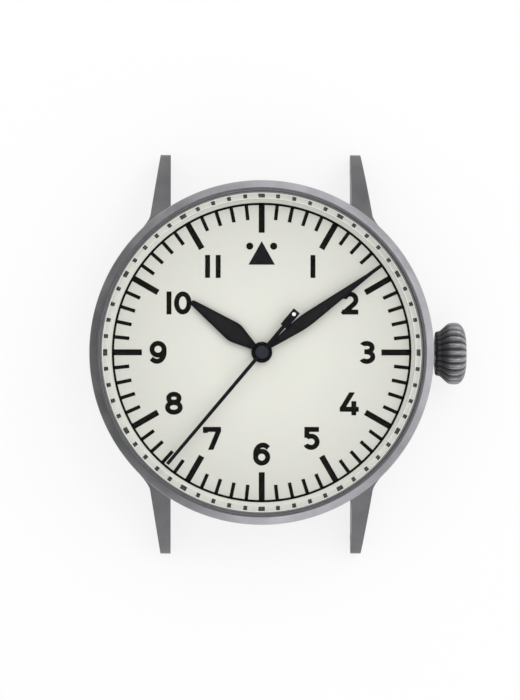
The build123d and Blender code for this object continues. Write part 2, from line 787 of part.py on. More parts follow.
# Clamps that hold the movement on the case's ledge, each under a screw in the bridge's rim
with BuildPart() as casing_clamps:
    for angle in clamp_angles:
        with BuildSketch(turned_frame(centre, angle, z_shoulder - clamp_thickness)):
            with Locations((back_thread_radius - running_gap, 0)):
                Rectangle(clamp_length, clamp_width, align=(Align.MAX, Align.CENTER))
        extrude(amount=clamp_thickness)
        hole_place = polar(clamp_screw_reach, angle)
        screw_hole(hole_place, z_shoulder - clamp_thickness)
casing_clamps.part.label = "casing_clamps"
export_step(casing_clamps.part, "parts/casing_clamps.step")

with BuildPart() as casing_screws:
    for angle in clamp_angles:
        screw(polar(clamp_screw_reach, angle), z_shoulder - clamp_thickness - screw_head_height)
casing_screws.part.label = "casing_screws"
export_step(casing_screws.part, "parts/casing_screws.step")

# Jewels of the escapement, pressed into the plate and the bridges level with the inner faces
with BuildPart() as jewels:
    jewel_hole = pivot_radius + running_gap
    for place in (escape_place, pallet_place, balance_place):
        ring(place, jewel_hole, jewel_radius, z_plate, z_plate + jewel_thickness)
    ring(escape_place, jewel_hole, jewel_radius, z_train - jewel_thickness, z_train)
    ring(balance_place, jewel_hole, jewel_radius, z_cock - jewel_thickness, z_cock)
    pallet_jewel_top = z_pallet_bridge + pallet_bridge_thickness
    ring(pallet_place, jewel_hole, pallet_jewel_radius, z_pallet_bridge, pallet_jewel_top)
jewels.part.label = "jewels"
export_step(jewels.part, "parts/jewels.step")

# Barrel: toothed drum, cover, arbor and mainspring
drum_outer = barrel_module * (barrel_teeth / 2 - fall_share)
drum_inner = drum_outer - barrel_wall
barrel_phase = barrel_angle + 180
with BuildPart() as barrel_drum:
    ring(barrel_place, drum_inner, drum_outer, z_barrel, z_barrel_teeth)
    gear(barrel_place, barrel_teeth, barrel_module, z_barrel_teeth, barrel_tooth_height, barrel_phase)
    arbor_hole = barrel_arbor_radius + running_gap
    post(barrel_place, arbor_hole, z_barrel_teeth - cut_overrun, z_barrel_top + cut_overrun, Mode.SUBTRACT)
barrel_drum.part.label = "barrel_drum"
export_step(barrel_drum.part, "parts/barrel_drum.step")

with BuildPart() as barrel_cover:
    ring(barrel_place, arbor_hole, drum_inner - seat_gap, z_barrel, z_barrel + barrel_cover_thickness)
barrel_cover.part.label = "barrel_cover"
export_step(barrel_cover.part, "parts/barrel_cover.step")

with BuildPart() as barrel_arbor:
    core_low = z_barrel + barrel_cover_thickness + running_gap
    core_high = z_barrel_teeth - running_gap
    post(barrel_place, barrel_arbor_radius, z_bridge, z_dial - layer_gap)
    post(barrel_place, barrel_arbor_radius * 3 / 2, core_low, core_high)
    with BuildSketch(Plane.XY.offset(z_ratchet)):
        with Locations(barrel_place):
            Rectangle(ratchet_square, ratchet_square)
    extrude(amount=z_bridge - z_ratchet)
barrel_arbor.part.label = "barrel_arbor"
export_step(barrel_arbor.part, "parts/barrel_arbor.step")


def spiral(plane, inner, pitch, turns, thickness, height):
    """Flat wound strip whose radius grows by one pitch in each turn."""
    edges = []
    for edge in (-thickness / 2, thickness / 2):
        edges.append([])
        for step in range(turns * spring_sides + 1):
            turned = step / spring_sides
            edges[-1].append(polar(inner + edge + pitch * turned, 360 * turned))
    plate(plane, edges[0] + edges[1][::-1], height)


# Mainspring, unwound against the drum's wall
with BuildPart() as mainspring:
    mainspring_outer = drum_inner - mainspring_thickness - mainspring_pitch / 2
    spiral_start = mainspring_outer - mainspring_turns * mainspring_pitch
    spiral(
        turned_frame(barrel_place, 0, core_low),
        spiral_start,
        mainspring_pitch,
        mainspring_turns,
        mainspring_thickness,
        core_high - core_low,
    )
mainspring.part.label = "mainspring"
export_step(mainspring.part, "parts/mainspring.step")

# Winding wheels on the back of the barrel bridge, and the click
crown_phase = 0
ratchet_direction = math.degrees(
    math.atan2(barrel_place[1] - crown_wheel_place[1], barrel_place[0] - crown_wheel_place[0])
)
ratchet_phase = meshed_phase(ratchet_direction, crown_wheel_teeth, crown_phase, ratchet_teeth)
with BuildPart() as crown_wheel:
    gear(
        crown_wheel_place,
        crown_wheel_teeth,
        winding_module,
        z_ratchet,
        winding_wheel_thickness,
        crown_phase,
    )
    post(crown_wheel_place, jewel_radius + running_gap, z_ratchet - cut_overrun, z_bridge, Mode.SUBTRACT)
crown_wheel.part.label = "crown_wheel"
export_step(crown_wheel.part, "parts/crown_wheel.step")

with BuildPart() as ratchet_wheel:
    gear(barrel_place, ratchet_teeth, winding_module, z_ratchet, winding_wheel_thickness, ratchet_phase)
    with BuildSketch(Plane.XY.offset(z_ratchet - cut_overrun)):
        with Locations(barrel_place):
            Rectangle(ratchet_square + 2 * seat_gap, ratchet_square + 2 * seat_gap)
    extrude(amount=winding_wheel_thickness + 2 * cut_overrun, mode=Mode.SUBTRACT)
ratchet_wheel.part.label = "ratchet_wheel"
export_step(ratchet_wheel.part, "parts/ratchet_wheel.step")

with BuildPart() as ratchet_screw:
    post(barrel_place, barrel_arbor_radius, z_movement, z_ratchet)
ratchet_screw.part.label = "ratchet_screw"
export_step(ratchet_screw.part, "parts/ratchet_screw.step")

with BuildPart() as crown_wheel_screw:
    post(crown_wheel_place, barrel_arbor_radius, z_movement, z_ratchet)
crown_wheel_screw.part.label = "crown_wheel_screw"
export_step(crown_wheel_screw.part, "parts/crown_wheel_screw.step")

click_direction = math.degrees(math.atan2(click_pivot[1] - click_tip[1], click_pivot[0] - click_tip[0]))
with BuildPart() as click:
    with BuildSketch(turned_frame(click_tip, click_direction, z_ratchet)):
        with Locations((click_length, 0)):
            faceted(click_width * 2 / 3)
        with BuildLine():
            Polyline(
                (0, 0),
                (click_nose, -click_nose / 2),
                (click_length, -click_width / 2),
                (click_length, click_width / 2),
                (click_nose, click_nose),
                close=True,
            )
        make_face()
    extrude(amount=winding_wheel_thickness)
    post(click_pivot, click_post_radius + running_gap, z_ratchet - cut_overrun, z_bridge, Mode.SUBTRACT)
click.part.label = "click"
export_step(click.part, "parts/click.step")

# The click's spring lies round the back of the click and presses on its tail
with BuildPart() as click_spring:
    spring_radius = click_length * 2 / 3
    spring_distance = click_width / 2 + running_gap + click_spring_width + spring_radius
    spring_centre = polar(spring_distance, click_direction + 90, click_pivot)
    with BuildSketch(turned_frame(spring_centre, click_direction - 90, z_ratchet)):
        with BuildLine():
            for edge in (0, click_spring_width):
                CenterArc((0, 0), spring_radius - edge, -click_spring_span, 2 * click_spring_span)
            for end in (-click_spring_span, click_spring_span):
                Line(polar(spring_radius - click_spring_width, end), polar(spring_radius, end))
        make_face()
    extrude(amount=winding_wheel_thickness + running_gap)
click_spring.part.label = "click_spring"
export_step(click_spring.part, "parts/click_spring.step")


def link(start, end, width, low, high):
    """Flat lever between two points, round at both ends."""
    direction = math.degrees(math.atan2(end[1] - start[1], end[0] - start[0]))
    length = math.hypot(end[0] - start[0], end[1] - start[1])
    with BuildSketch(turned_frame(start, direction, low)) as lever_plan:
        with Locations((0, 0), (length, 0)):
            faceted(width / 2)
        with Locations((length / 2, 0)):
            Rectangle(length, width)
    extrude(lever_plan.sketch, amount=high - low)


# Going train. The centre wheel turns once an hour on a hollow arbor, and the seconds
# arbor of the fourth wheel runs through it.
centre_phase = third_angle
third_phase = third_angle + 180
fourth_phase = escape_angle
z_wheels = z_recess + running_gap
with BuildPart() as centre_wheel:
    spoked_wheel(centre, centre_teeth, centre_module, z_centre, 2 * centre_arbor_radius, centre_phase)
    pinion_phase = meshed_phase(barrel_angle + 180, barrel_teeth, barrel_phase, centre_pinion_leaves)
    pinion(centre, centre_pinion_leaves, barrel_module, z_centre_pinion, z_centre, pinion_phase)
    post(centre, 2 * centre_arbor_radius, z_centre, z_centre + wheel_thickness)
    post(centre, centre_arbor_radius, z_centre, z_recess)
    post(centre, centre_arbor_radius - running_gap, z_recess, z_dial_top)
    post(centre, centre_bore, z_centre_pinion - cut_overrun, z_dial_top + cut_overrun, Mode.SUBTRACT)
centre_wheel.part.label = "centre_wheel"
export_step(centre_wheel.part, "parts/centre_wheel.step")

with BuildPart() as third_wheel:
    pinned_arbor(third_place, z_train, z_plate)
    spoked_wheel(third_place, third_teeth, third_module, z_third, 3 * arbor_radius, third_phase)
    pinion_phase = meshed_phase(third_angle, centre_teeth, centre_phase, third_pinion_leaves)
    pinion_low = z_centre - running_gap
    pinion(third_place, third_pinion_leaves, centre_module, pinion_low, z_plate - running_gap, pinion_phase)
third_wheel.part.label = "third_wheel"
export_step(third_wheel.part, "parts/third_wheel.step")

z_hour_hand = z_dial_top + hour_hand_level
z_minute_hand = z_hour_hand + hand_step
z_second_hand = z_minute_hand + hand_step
boss_drop = (boss_height - hand_thickness) / 2
boss_top = hand_thickness + boss_drop
with BuildPart() as fourth_wheel:
    spoked_wheel(centre, fourth_teeth, escape_module, z_fourth, 4 * arbor_radius, fourth_phase)
    pinion_low = z_third - running_gap
    post(centre, 3 * arbor_radius, z_train + running_gap, pinion_low)
    pinion_phase = meshed_phase(third_angle + 180, third_teeth, third_phase, fourth_pinion_leaves)
    pinion_high = z_third + wheel_thickness + running_gap
    pinion(centre, fourth_pinion_leaves, third_module, pinion_low, pinion_high, pinion_phase)
    seconds_top = z_second_hand + boss_top - 2 * running_gap
    post(centre, seconds_arbor_radius, z_train - jewel_thickness, seconds_top)
fourth_wheel.part.label = "fourth_wheel"
export_step(fourth_wheel.part, "parts/fourth_wheel.step")

# Escapement: club-toothed wheel, pallets with two stones, balance and its spring
entry_angle = balance_angle + pallet_span
escape_root = escape_radius * club_root_share
with BuildPart() as escape_wheel:
    pinned_arbor(escape_place, z_train, z_plate)
    pinion_phase = meshed_phase(escape_angle, fourth_teeth, fourth_phase, escape_pinion_leaves)
    pinion_high = z_fourth + wheel_thickness + running_gap
    pinion_low = z_fourth - running_gap
    pinion(escape_place, escape_pinion_leaves, escape_module, pinion_low, pinion_high, pinion_phase)
    club_points = []
    club_pitch = 360 / escape_teeth
    for tooth in range(escape_teeth):
        middle = entry_angle + (tooth + 1 / 4) * club_pitch
        club_points.append(polar(escape_root, middle - club_pitch * club_back_share, escape_place))
        club_points.append(polar(escape_radius, middle - club_pitch * club_tip_share, escape_place))
        club_points.append(polar(escape_radius, middle + club_pitch * club_tip_share, escape_place))
    plate(Plane.XY.offset(z_escape), club_points, wheel_thickness)
    windows(escape_place, 3 * arbor_radius, escape_root - 2 * arbor_radius, z_escape, wheel_thickness)
escape_wheel.part.label = "escape_wheel"
export_step(escape_wheel.part, "parts/escape_wheel.step")

stone_seat = escape_radius + stone_length / 2 - running_gap
stone_angles = (balance_angle - pallet_span, balance_angle + pallet_span)
slot_reach = fork_reach - impulse_radius
with BuildPart() as pallet_fork:
    for angle in stone_angles:
        arm_end = polar(escape_radius + stone_length * 3 / 4, angle, escape_place)
        link(pallet_place, arm_end, fork_width * arm_width_share, z_escape, z_escape_top)
    slot_foot = polar(slot_reach - horn_length, balance_angle, pallet_place)
    link(pallet_place, slot_foot, fork_width * arm_width_share, z_escape, z_escape_top)
    with BuildSketch(turned_frame(pallet_place, balance_angle, z_escape)):
        with Locations((slot_reach, 0)):
            Rectangle(2 * horn_length, 2 * horn_length)
        slot_width = 3 * impulse_pin_radius
        with Locations((slot_reach - slot_width / 2, 0)):
            Rectangle(2 * horn_length, slot_width, align=(Align.MIN, Align.CENTER), mode=Mode.SUBTRACT)
    extrude(amount=wheel_thickness)
    post(pallet_place, arbor_radius, z_escape, z_plate - running_gap)
    post(pallet_place, pivot_radius, z_pallet_bridge, z_plate + jewel_thickness)
    for angle in stone_angles:
        with BuildSketch(turned_frame(polar(stone_seat, angle, escape_place), angle, z_escape)):
            Rectangle(stone_length, stone_width)
        extrude(amount=wheel_thickness, mode=Mode.SUBTRACT)
pallet_fork.part.label = "pallet_fork"
export_step(pallet_fork.part, "parts/pallet_fork.step")

with BuildPart() as pallet_stones:
    for angle in stone_angles:
        with BuildSketch(turned_frame(polar(stone_seat, angle, escape_place), angle, z_escape)):
            Rectangle(stone_length, stone_width)
        extrude(amount=wheel_thickness)
pallet_stones.part.label = "pallet_stones"
export_step(pallet_stones.part, "parts/pallet_stones.step")

with BuildPart() as balance_wheel:
    rim_inner = balance_radius - balance_rim_width
    ring(balance_place, rim_inner, balance_radius, z_balance, z_balance + balance_rim_height)
    with BuildSketch(turned_frame(balance_place, balance_angle + 90, z_balance + layer_gap)):
        Rectangle(2 * rim_inner + balance_rim_width, balance_rim_width)
    extrude(amount=layer_gap)
    post(balance_place, 2 * arbor_radius, z_balance, z_balance + balance_rim_height)
    post(balance_place, arbor_radius, z_cock + running_gap, z_plate - running_gap)
    post(balance_place, pivot_radius, z_cock - jewel_thickness, z_plate + jewel_thickness)
    post(balance_place, roller_radius, z_escape - layer_gap - wheel_thickness, z_escape - layer_gap)
    impulse_place = polar(slot_reach, balance_angle, pallet_place)
    post(impulse_place, impulse_pin_radius, z_escape - layer_gap, z_escape_top)
balance_wheel.part.label = "balance_wheel"
export_step(balance_wheel.part, "parts/balance_wheel.step")

with BuildPart() as hairspring:
    z_hairspring = z_cock + running_gap
    spring_plane = turned_frame(balance_place, cock_angle, z_hairspring)
    spiral(
        spring_plane,
        hairspring_inner,
        hairspring_pitch,
        hairspring_turns,
        hairspring_thickness,
        hairspring_height,
    )
    stud_reach = hairspring_inner + hairspring_turns * hairspring_pitch
    with BuildSketch(turned_frame(balance_place, cock_angle, z_cock)):
        with Locations((stud_reach, 0)):
            Rectangle(balance_rim_width, balance_rim_width / 2)
    extrude(amount=running_gap + hairspring_height)
hairspring.part.label = "hairspring"
export_step(hairspring.part, "parts/hairspring.step")

# Motion work under the dial
cannon_phase = minute_wheel_angle
minute_phase = meshed_phase(minute_wheel_angle, cannon_leaves, cannon_phase, minute_teeth)
z_hour_wheel = z_wheels + 2 * wheel_thickness
with BuildPart() as cannon_pinion:
    z_pinion = z_wheels + wheel_thickness
    pinion(centre, cannon_leaves, motion_module, z_wheels, z_pinion, cannon_phase)
    post(centre, cannon_radius, z_wheels, z_minute_hand + boss_top)
    cannon_bore = centre_arbor_radius - running_gap + seat_gap
    post(centre, cannon_bore, z_wheels - cut_overrun, z_minute_hand + cut_overrun, Mode.SUBTRACT)
cannon_pinion.part.label = "cannon_pinion"
export_step(cannon_pinion.part, "parts/cannon_pinion.step")

with BuildPart() as minute_wheel:
    gear(minute_place, minute_teeth, motion_module, z_wheels, wheel_thickness, minute_phase)
    pinion_phase = minute_wheel_angle + 180
    pinion_top = z_pinion + 2 * wheel_thickness
    pinion(minute_place, minute_pinion_leaves, hour_module, z_pinion, pinion_top, pinion_phase)
    post(minute_place, post_radius + running_gap, z_wheels - cut_overrun, z_dial, Mode.SUBTRACT)
minute_wheel.part.label = "minute_wheel"
export_step(minute_wheel.part, "parts/minute_wheel.step")

with BuildPart() as hour_wheel:
    hour_phase = meshed_phase(minute_wheel_angle + 180, minute_pinion_leaves, pinion_phase, hour_teeth)
    gear(centre, hour_teeth, hour_module, z_hour_wheel - wheel_thickness / 2, wheel_thickness, hour_phase)
    post(centre, hour_tube_radius, z_hour_wheel, z_hour_hand + boss_top)
    post(centre, cannon_radius + running_gap, z_wheels, z_hour_hand + cut_overrun, Mode.SUBTRACT)
hour_wheel.part.label = "hour_wheel"
export_step(hour_wheel.part, "parts/hour_wheel.step")

with BuildPart() as setting_wheel:
    setting_phase = meshed_phase(setting_wheel_angle, minute_teeth, minute_phase, setting_teeth)
    gear(setting_place, setting_teeth, motion_module, z_wheels, wheel_thickness, setting_phase)
    post(setting_place, post_radius + running_gap, z_wheels - cut_overrun, z_dial, Mode.SUBTRACT)
setting_wheel.part.label = "setting_wheel"
export_step(setting_wheel.part, "parts/setting_wheel.step")


# Stem, winding pinion and sliding pinion
stem_end = crown_start + crown_bore_depth + crown_seat_depth
with BuildPart() as winding_stem:
    groove_start = lever_reach - stem_groove_width / 2
    groove_end = lever_reach + stem_groove_width / 2
    axle(pilot_radius, pilot_start - crown_travel + running_gap, pilot_end + running_gap)
    with BuildSketch(Plane.YZ.offset(pilot_end + running_gap)):
        with Locations((0, z_stem)):
            Circle(stem_radius)
    extrude(amount=groove_start - pilot_end - running_gap)
    axle(stem_radius - stem_groove_depth, groove_start, groove_end)
    axle(stem_radius, groove_end, stem_end)
winding_stem.part.label = "winding_stem"
export_step(winding_stem.part, "parts/winding_stem.step")

winding_phase = 270 + 180 / winding_pinion_teeth
with BuildPart() as winding_pinion:
    pinion_plane = Plane.YZ.offset(winding_pinion_start)
    points = tooth_points(winding_pinion_teeth, winding_module, winding_phase, leaf_foot_share, (0, z_stem))
    plate(pinion_plane, points, winding_pinion_length)
    bore = stem_radius + running_gap
    axle(bore, winding_pinion_start - cut_overrun, winding_pinion_end + cut_overrun, Mode.SUBTRACT)
winding_pinion.part.label = "winding_pinion"
export_step(winding_pinion.part, "parts/winding_pinion.step")

with BuildPart() as sliding_pinion:
    groove_low = yoke_reach - clutch_groove_width / 2
    groove_high = yoke_reach + clutch_groove_width / 2
    points = tooth_points(clutch_teeth, winding_module, 0, leaf_foot_share, (0, z_stem))
    plate(Plane.YZ.offset(clutch_start), points, groove_low - clutch_start)
    axle(clutch_radius - clutch_groove_depth, groove_low, groove_high)
    axle(clutch_radius, groove_high, clutch_end)
    axle(bore, clutch_start - cut_overrun, clutch_end + cut_overrun, Mode.SUBTRACT)
sliding_pinion.part.label = "sliding_pinion"
export_step(sliding_pinion.part, "parts/sliding_pinion.step")

# Setting lever and yoke: flat levers under the dial, each with a pin in a groove
z_lever = z_wheels + wheel_thickness + layer_gap
lever_pin = (lever_reach, 0)
with BuildPart() as setting_lever:
    link(lever_pivot, lever_pin, lever_width, z_lever, z_lever + lever_thickness)
    post(lever_pin, lever_pin_radius, z_stem + stem_radius - stem_groove_depth + running_gap, z_lever)
    post(lever_pivot, post_radius + running_gap, z_lever - cut_overrun, z_dial, Mode.SUBTRACT)
setting_lever.part.label = "setting_lever"
export_step(setting_lever.part, "parts/setting_lever.step")

yoke_pin = (yoke_reach, 0)
with BuildPart() as yoke:
    link(yoke_pivot, yoke_pin, lever_width, z_lever, z_lever + lever_thickness)
    post(yoke_pin, lever_pin_radius, z_stem + clutch_radius - clutch_groove_depth + running_gap, z_lever)
    post(yoke_pivot, post_radius + running_gap, z_lever - cut_overrun, z_dial, Mode.SUBTRACT)
yoke.part.label = "yoke"
export_step(yoke.part, "parts/yoke.step")

# Crown tube in the case wall, the fluted onion crown over it and the seal between them
with BuildPart() as crown_tube:
    axle(crown_tube_radius, movement_radius + 2 * layer_gap, case_radius + crown_tube_reach)
    tube_bore = crown_tube_radius - crown_tube_wall
    axle(tube_bore, movement_radius, case_radius + 2 * crown_tube_reach, Mode.SUBTRACT)
crown_tube.part.label = "crown_tube"
export_step(crown_tube.part, "parts/crown_tube.step")

# Each band of the crown is a fluted round that widens or narrows to the next station
crown_station_shares = (
    (0, crown_base_radius / crown_radius),
    (0.42, crown_shoulder_radius / crown_radius),
    (0.62, 1),
    (0.85, crown_cheek_share),
    (1, crown_end_radius / crown_radius),
)


def fluted(radius):
    """Star-shaped outline of the crown, whose sides are all as far from its axis."""
    points = []
    for corner in range(2 * crown_flutes):
        reach = radius * flute_share if corner % 2 else radius
        points.append(polar(reach, corner * 180 / crown_flutes, (0, z_stem)))
    return points


def side_reach(radius):
    """Distance from the crown's axis to the line of each of its sides."""
    opening = math.radians(180 / crown_flutes)
    side = math.sqrt(1 + flute_share**2 - 2 * flute_share * math.cos(opening))
    return radius * flute_share * math.sin(opening) / side


with BuildPart() as crown:
    for station, following in zip(crown_station_shares, crown_station_shares[1:]):
        radius = crown_radius * station[1]
        length = crown_length * (following[0] - station[0])
        growth = side_reach(crown_radius * following[1]) - side_reach(radius)
        with BuildSketch(Plane.YZ.offset(crown_start + crown_length * station[0])):
            with BuildLine():
                Polyline(*fluted(radius), close=True)
            make_face()
        extrude(amount=length, taper=-math.degrees(math.atan(growth / length)))
    seal_radius = crown_tube_radius + crown_tube_wall
    axle(seal_radius, crown_start - cut_overrun, crown_start + crown_bore_depth, Mode.SUBTRACT)
    axle(stem_radius + seat_gap, crown_start, stem_end + seat_gap, Mode.SUBTRACT)
crown.part.label = "crown"
export_step(crown.part, "parts/crown.step")

with BuildPart() as crown_gasket:
    seal_start = crown_start + layer_gap
    axle(seal_radius - seat_gap, seal_start, seal_start + crown_gasket_length)
    axle(crown_tube_radius + running_gap, seal_start - cut_overrun, seal_start + cut_overrun, Mode.SUBTRACT)
crown_gasket.part.label = "crown_gasket"
export_step(crown_gasket.part, "parts/crown_gasket.step")


def hand_outline(clock_angle, height, *half_outline):
    """Flat hand, drawn along its own direction from (distance, half width) points."""
    lower = [(distance, -half_width) for distance, half_width in half_outline]
    upper = [(distance, half_width) for distance, half_width in reversed(half_outline)]
    plate(turned_frame(centre, 90 - clock_angle, height), lower + upper, hand_thickness)


def hand_bore(tube_radius, height):
    """Hole through a hand for the tube that carries it."""
    low, high = height - cut_overrun, height + cut_overrun
    post(centre, tube_radius + seat_gap, low, high, Mode.SUBTRACT)


# Hands
with BuildPart() as hour_hand:
    post(centre, hour_boss_radius, z_hour_hand - boss_drop, z_hour_hand + boss_top)
    hand_outline(
        hour_hand_angle,
        z_hour_hand,
        (0, hour_hand_neck / 2),
        (hour_boss_radius, hour_hand_neck / 2),
        (hour_hand_belly, hour_hand_width / 2),
        (hour_hand_length, hour_hand_tip / 2),
    )
    hand_bore(hour_tube_radius, z_hour_hand)
hour_hand.part.label = "hour_hand"
export_step(hour_hand.part, "parts/hour_hand.step")

with BuildPart() as minute_hand:
    post(centre, minute_boss_radius, z_minute_hand - boss_drop, z_minute_hand + boss_top)
    hand_outline(
        minute_hand_angle,
        z_minute_hand,
        (0, minute_hand_neck / 2),
        (minute_boss_radius, minute_hand_neck / 2),
        (minute_hand_belly, minute_hand_width / 2),
        (minute_hand_length, minute_hand_tip / 2),
    )
    hand_bore(cannon_radius, z_minute_hand)
minute_hand.part.label = "minute_hand"
export_step(minute_hand.part, "parts/minute_hand.step")

with BuildPart() as second_hand:
    post(centre, second_boss_radius, z_second_hand - boss_drop, z_second_hand + boss_top)
    hand_outline(
        second_hand_angle,
        z_second_hand,
        (-counterweight_end, counterweight_width / 2),
        (-counterweight_start, counterweight_width / 2),
        (-counterweight_start, second_hand_width / 2),
        (second_hand_length, second_hand_tip / 2),
    )
    arbor_hole_top = seconds_top + running_gap
    post(centre, seconds_arbor_radius + seat_gap, z_minute_hand, arbor_hole_top, Mode.SUBTRACT)
second_hand.part.label = "second_hand"
export_step(second_hand.part, "parts/second_hand.step")
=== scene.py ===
import logging
import math
from collections.abc import Callable, Sequence
from dataclasses import dataclass
from enum import Enum
from functools import cache

import bpy
import numpy as np
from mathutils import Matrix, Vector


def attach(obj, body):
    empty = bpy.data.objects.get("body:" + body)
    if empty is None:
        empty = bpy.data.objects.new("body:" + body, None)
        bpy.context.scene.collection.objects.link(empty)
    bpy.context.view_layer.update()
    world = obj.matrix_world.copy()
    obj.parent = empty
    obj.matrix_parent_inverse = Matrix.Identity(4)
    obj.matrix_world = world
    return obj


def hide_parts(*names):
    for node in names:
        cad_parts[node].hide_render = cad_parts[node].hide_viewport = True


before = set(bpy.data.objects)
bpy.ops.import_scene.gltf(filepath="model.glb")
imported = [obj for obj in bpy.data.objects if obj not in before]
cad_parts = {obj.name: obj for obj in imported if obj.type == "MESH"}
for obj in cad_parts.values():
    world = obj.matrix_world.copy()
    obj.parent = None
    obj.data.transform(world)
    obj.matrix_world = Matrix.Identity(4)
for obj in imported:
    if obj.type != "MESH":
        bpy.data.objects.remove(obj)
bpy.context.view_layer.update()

MM = 0.001
LOG = logging.getLogger("pilot_watch")

# Heights in millimetres above the flat of the case back, as in the part's source
CASE_BOTTOM = 0.95
BEZEL_FOOT = 8.55
BEZEL_TOP = 9.95
DIAL_BACK = 6.75
DIAL_TOP = 7.15
CRYSTAL_BACK = 8.95
CRYSTAL_TOP = 10.75
STEM_AXIS = 4.0

# The matrix that lays a turned piece along the stem: its height becomes x
ALONG_STEM = np.array([[0, 0, 1], [1, 0, 0], [0, 1, 0]])

Colour = tuple[float, float, float]
Field = Callable[[np.ndarray, np.ndarray], np.ndarray]


@dataclass
class Surface:
    """Points in millimetres, faces that name them and the finish number of each face."""

    points: np.ndarray
    faces: list[tuple[int, ...]]
    marks: np.ndarray

    def outward(self) -> "Surface":
        """Return the closed surface with its faces outward.

        The signed volume is a sixth of the sum of the triple products of each face's fan.

        Returns:
            The new surface.
        """
        total = 0.0
        sizes = np.array([len(face) for face in self.faces])
        for size in np.unique(sizes):
            rows = np.array([face for face in self.faces if len(face) == size])
            first = self.points[rows[:, 0]]
            for step in range(1, size - 1):
                middle, last = self.points[rows[:, step]], self.points[rows[:, step + 1]]
                total += float(np.einsum("ij,ij->", first, np.cross(middle, last))) / 6
        faces = self.faces if total >= 0 else [face[::-1] for face in self.faces]
        return Surface(self.points, faces, self.marks)

    def moved(self, matrix: np.ndarray, shift: Sequence[float] = (0, 0, 0)) -> "Surface":
        """Return the surface after a 3 by 3 matrix and a shift, faces still outward."""
        return Surface(self.points @ matrix.T + np.array(shift), self.faces, self.marks).outward()


def joined(*surfaces: Surface) -> Surface:
    """Put surfaces side by side in one.

    Args:
        *surfaces: Closed surfaces.

    Returns:
        One surface with all their points and faces.
    """
    faces, start = [], 0
    for surface in surfaces:
        faces += [tuple(number + start for number in face) for face in surface.faces]
        start += len(surface.points)
    points, marks = ([getattr(surface, name) for surface in surfaces] for name in ("points", "marks"))
    return Surface(np.vstack(points), faces, np.concatenate(marks))


def merged(points: np.ndarray, faces: list) -> tuple[np.ndarray, list[tuple[int, ...]], list[int]]:
    """Merge points closer than a tenth of a micrometre and drop faces that vanish.

    Args:
        points: Array of x, y or x, y, z.
        faces: Lists of point numbers.

    Returns:
        The points, the faces left and which faces these were.
    """
    _, first, renamed = np.unique(np.round(points, 4), axis=0, return_index=True, return_inverse=True)
    renamed = renamed.ravel()
    kept, places = [], []
    for place, face in enumerate(faces):
        corners = [int(renamed[number]) for number in face]
        corners = [corner for i, corner in enumerate(corners) if corner != corners[i - 1]]
        if len(set(corners)) > 2:
            kept.append(tuple(corners))
            places.append(place)
    return points[first], kept, places


def welded(points: np.ndarray, faces: list, marks: np.ndarray) -> Surface:
    """Return the outward surface of points, faces and marks without doubled points."""
    points, kept, places = merged(points, faces)
    return Surface(points, kept, marks[places]).outward()


def grid_faces(rows: int, columns: int, wrap_rows: bool) -> np.ndarray:
    """Number the quads of a grid of points whose columns run round.

    Args:
        rows: Points along the first parameter.
        columns: Points along the second parameter.
        wrap_rows: Whether the last row meets the first too.

    Returns:
        Array of quads.
    """
    row = np.arange(rows if wrap_rows else rows - 1)[:, None]
    column = np.arange(columns)[None, :]
    here, above = row * columns, (row + 1) % rows * columns
    after = (column + 1) % columns
    quads = np.broadcast_arrays(here + column, here + after, above + after, above + column)
    return np.stack(quads, axis=-1).reshape(-1, 4)


def lathe(
    profile: Sequence[tuple[float, ...]],
    segments: int,
    reach: Callable[[np.ndarray, np.ndarray], np.ndarray] | None = None,
) -> Surface:
    """Turn a closed profile: x = r cos v, y = r sin v, z = h over the whole turn v.

    Args:
        profile: Corners of radius, height and, unless it is 0, the finish number of the
            band up to the next corner. Corners on the axis are poles.
        segments: Steps in the turn.
        reach: Function of the corner's number and v that scales the radius.

    Returns:
        The closed surface.
    """
    radius, height = (np.array([corner[k] for corner in profile], float)[:, None] for k in (0, 1))
    marks = np.array([corner[2] if len(corner) > 2 else 0 for corner in profile])
    turn = np.linspace(0, 2 * np.pi, segments, endpoint=False)[None, :]
    if reach is not None:
        radius = radius * reach(np.arange(len(profile))[:, None], turn)
    points = np.stack(np.broadcast_arrays(radius * np.cos(turn), radius * np.sin(turn), height), axis=-1)
    faces = grid_faces(len(profile), segments, True)
    return welded(points.reshape(-1, 3), faces.tolist(), np.repeat(marks, segments))


def rod(radius: float, low: float, high: float, segments: int) -> Surface:
    """Return a round rod on the axis between two heights."""
    return lathe(((0, low), (radius, low), (radius, high), (0, high)), segments)


def slab(outline: np.ndarray, low: float, high: float) -> Surface:
    """Raise a flat outline: the same closed line at two heights, joined by upright quads.

    Args:
        outline: Array of x, y corners.
        low: Lower height.
        high: Upper height.

    Returns:
        The closed surface.
    """
    count = len(outline)
    points = np.vstack([np.column_stack([outline, np.full(count, z)]) for z in (low, high)])
    ring = np.arange(count)
    after = (ring + 1) % count
    sides = np.column_stack([ring, after, after + count, ring + count])
    faces = [tuple(range(count))[::-1], tuple(range(count, 2 * count)), *map(tuple, sides.tolist())]
    return Surface(points, faces, np.zeros(len(faces), int)).outward()


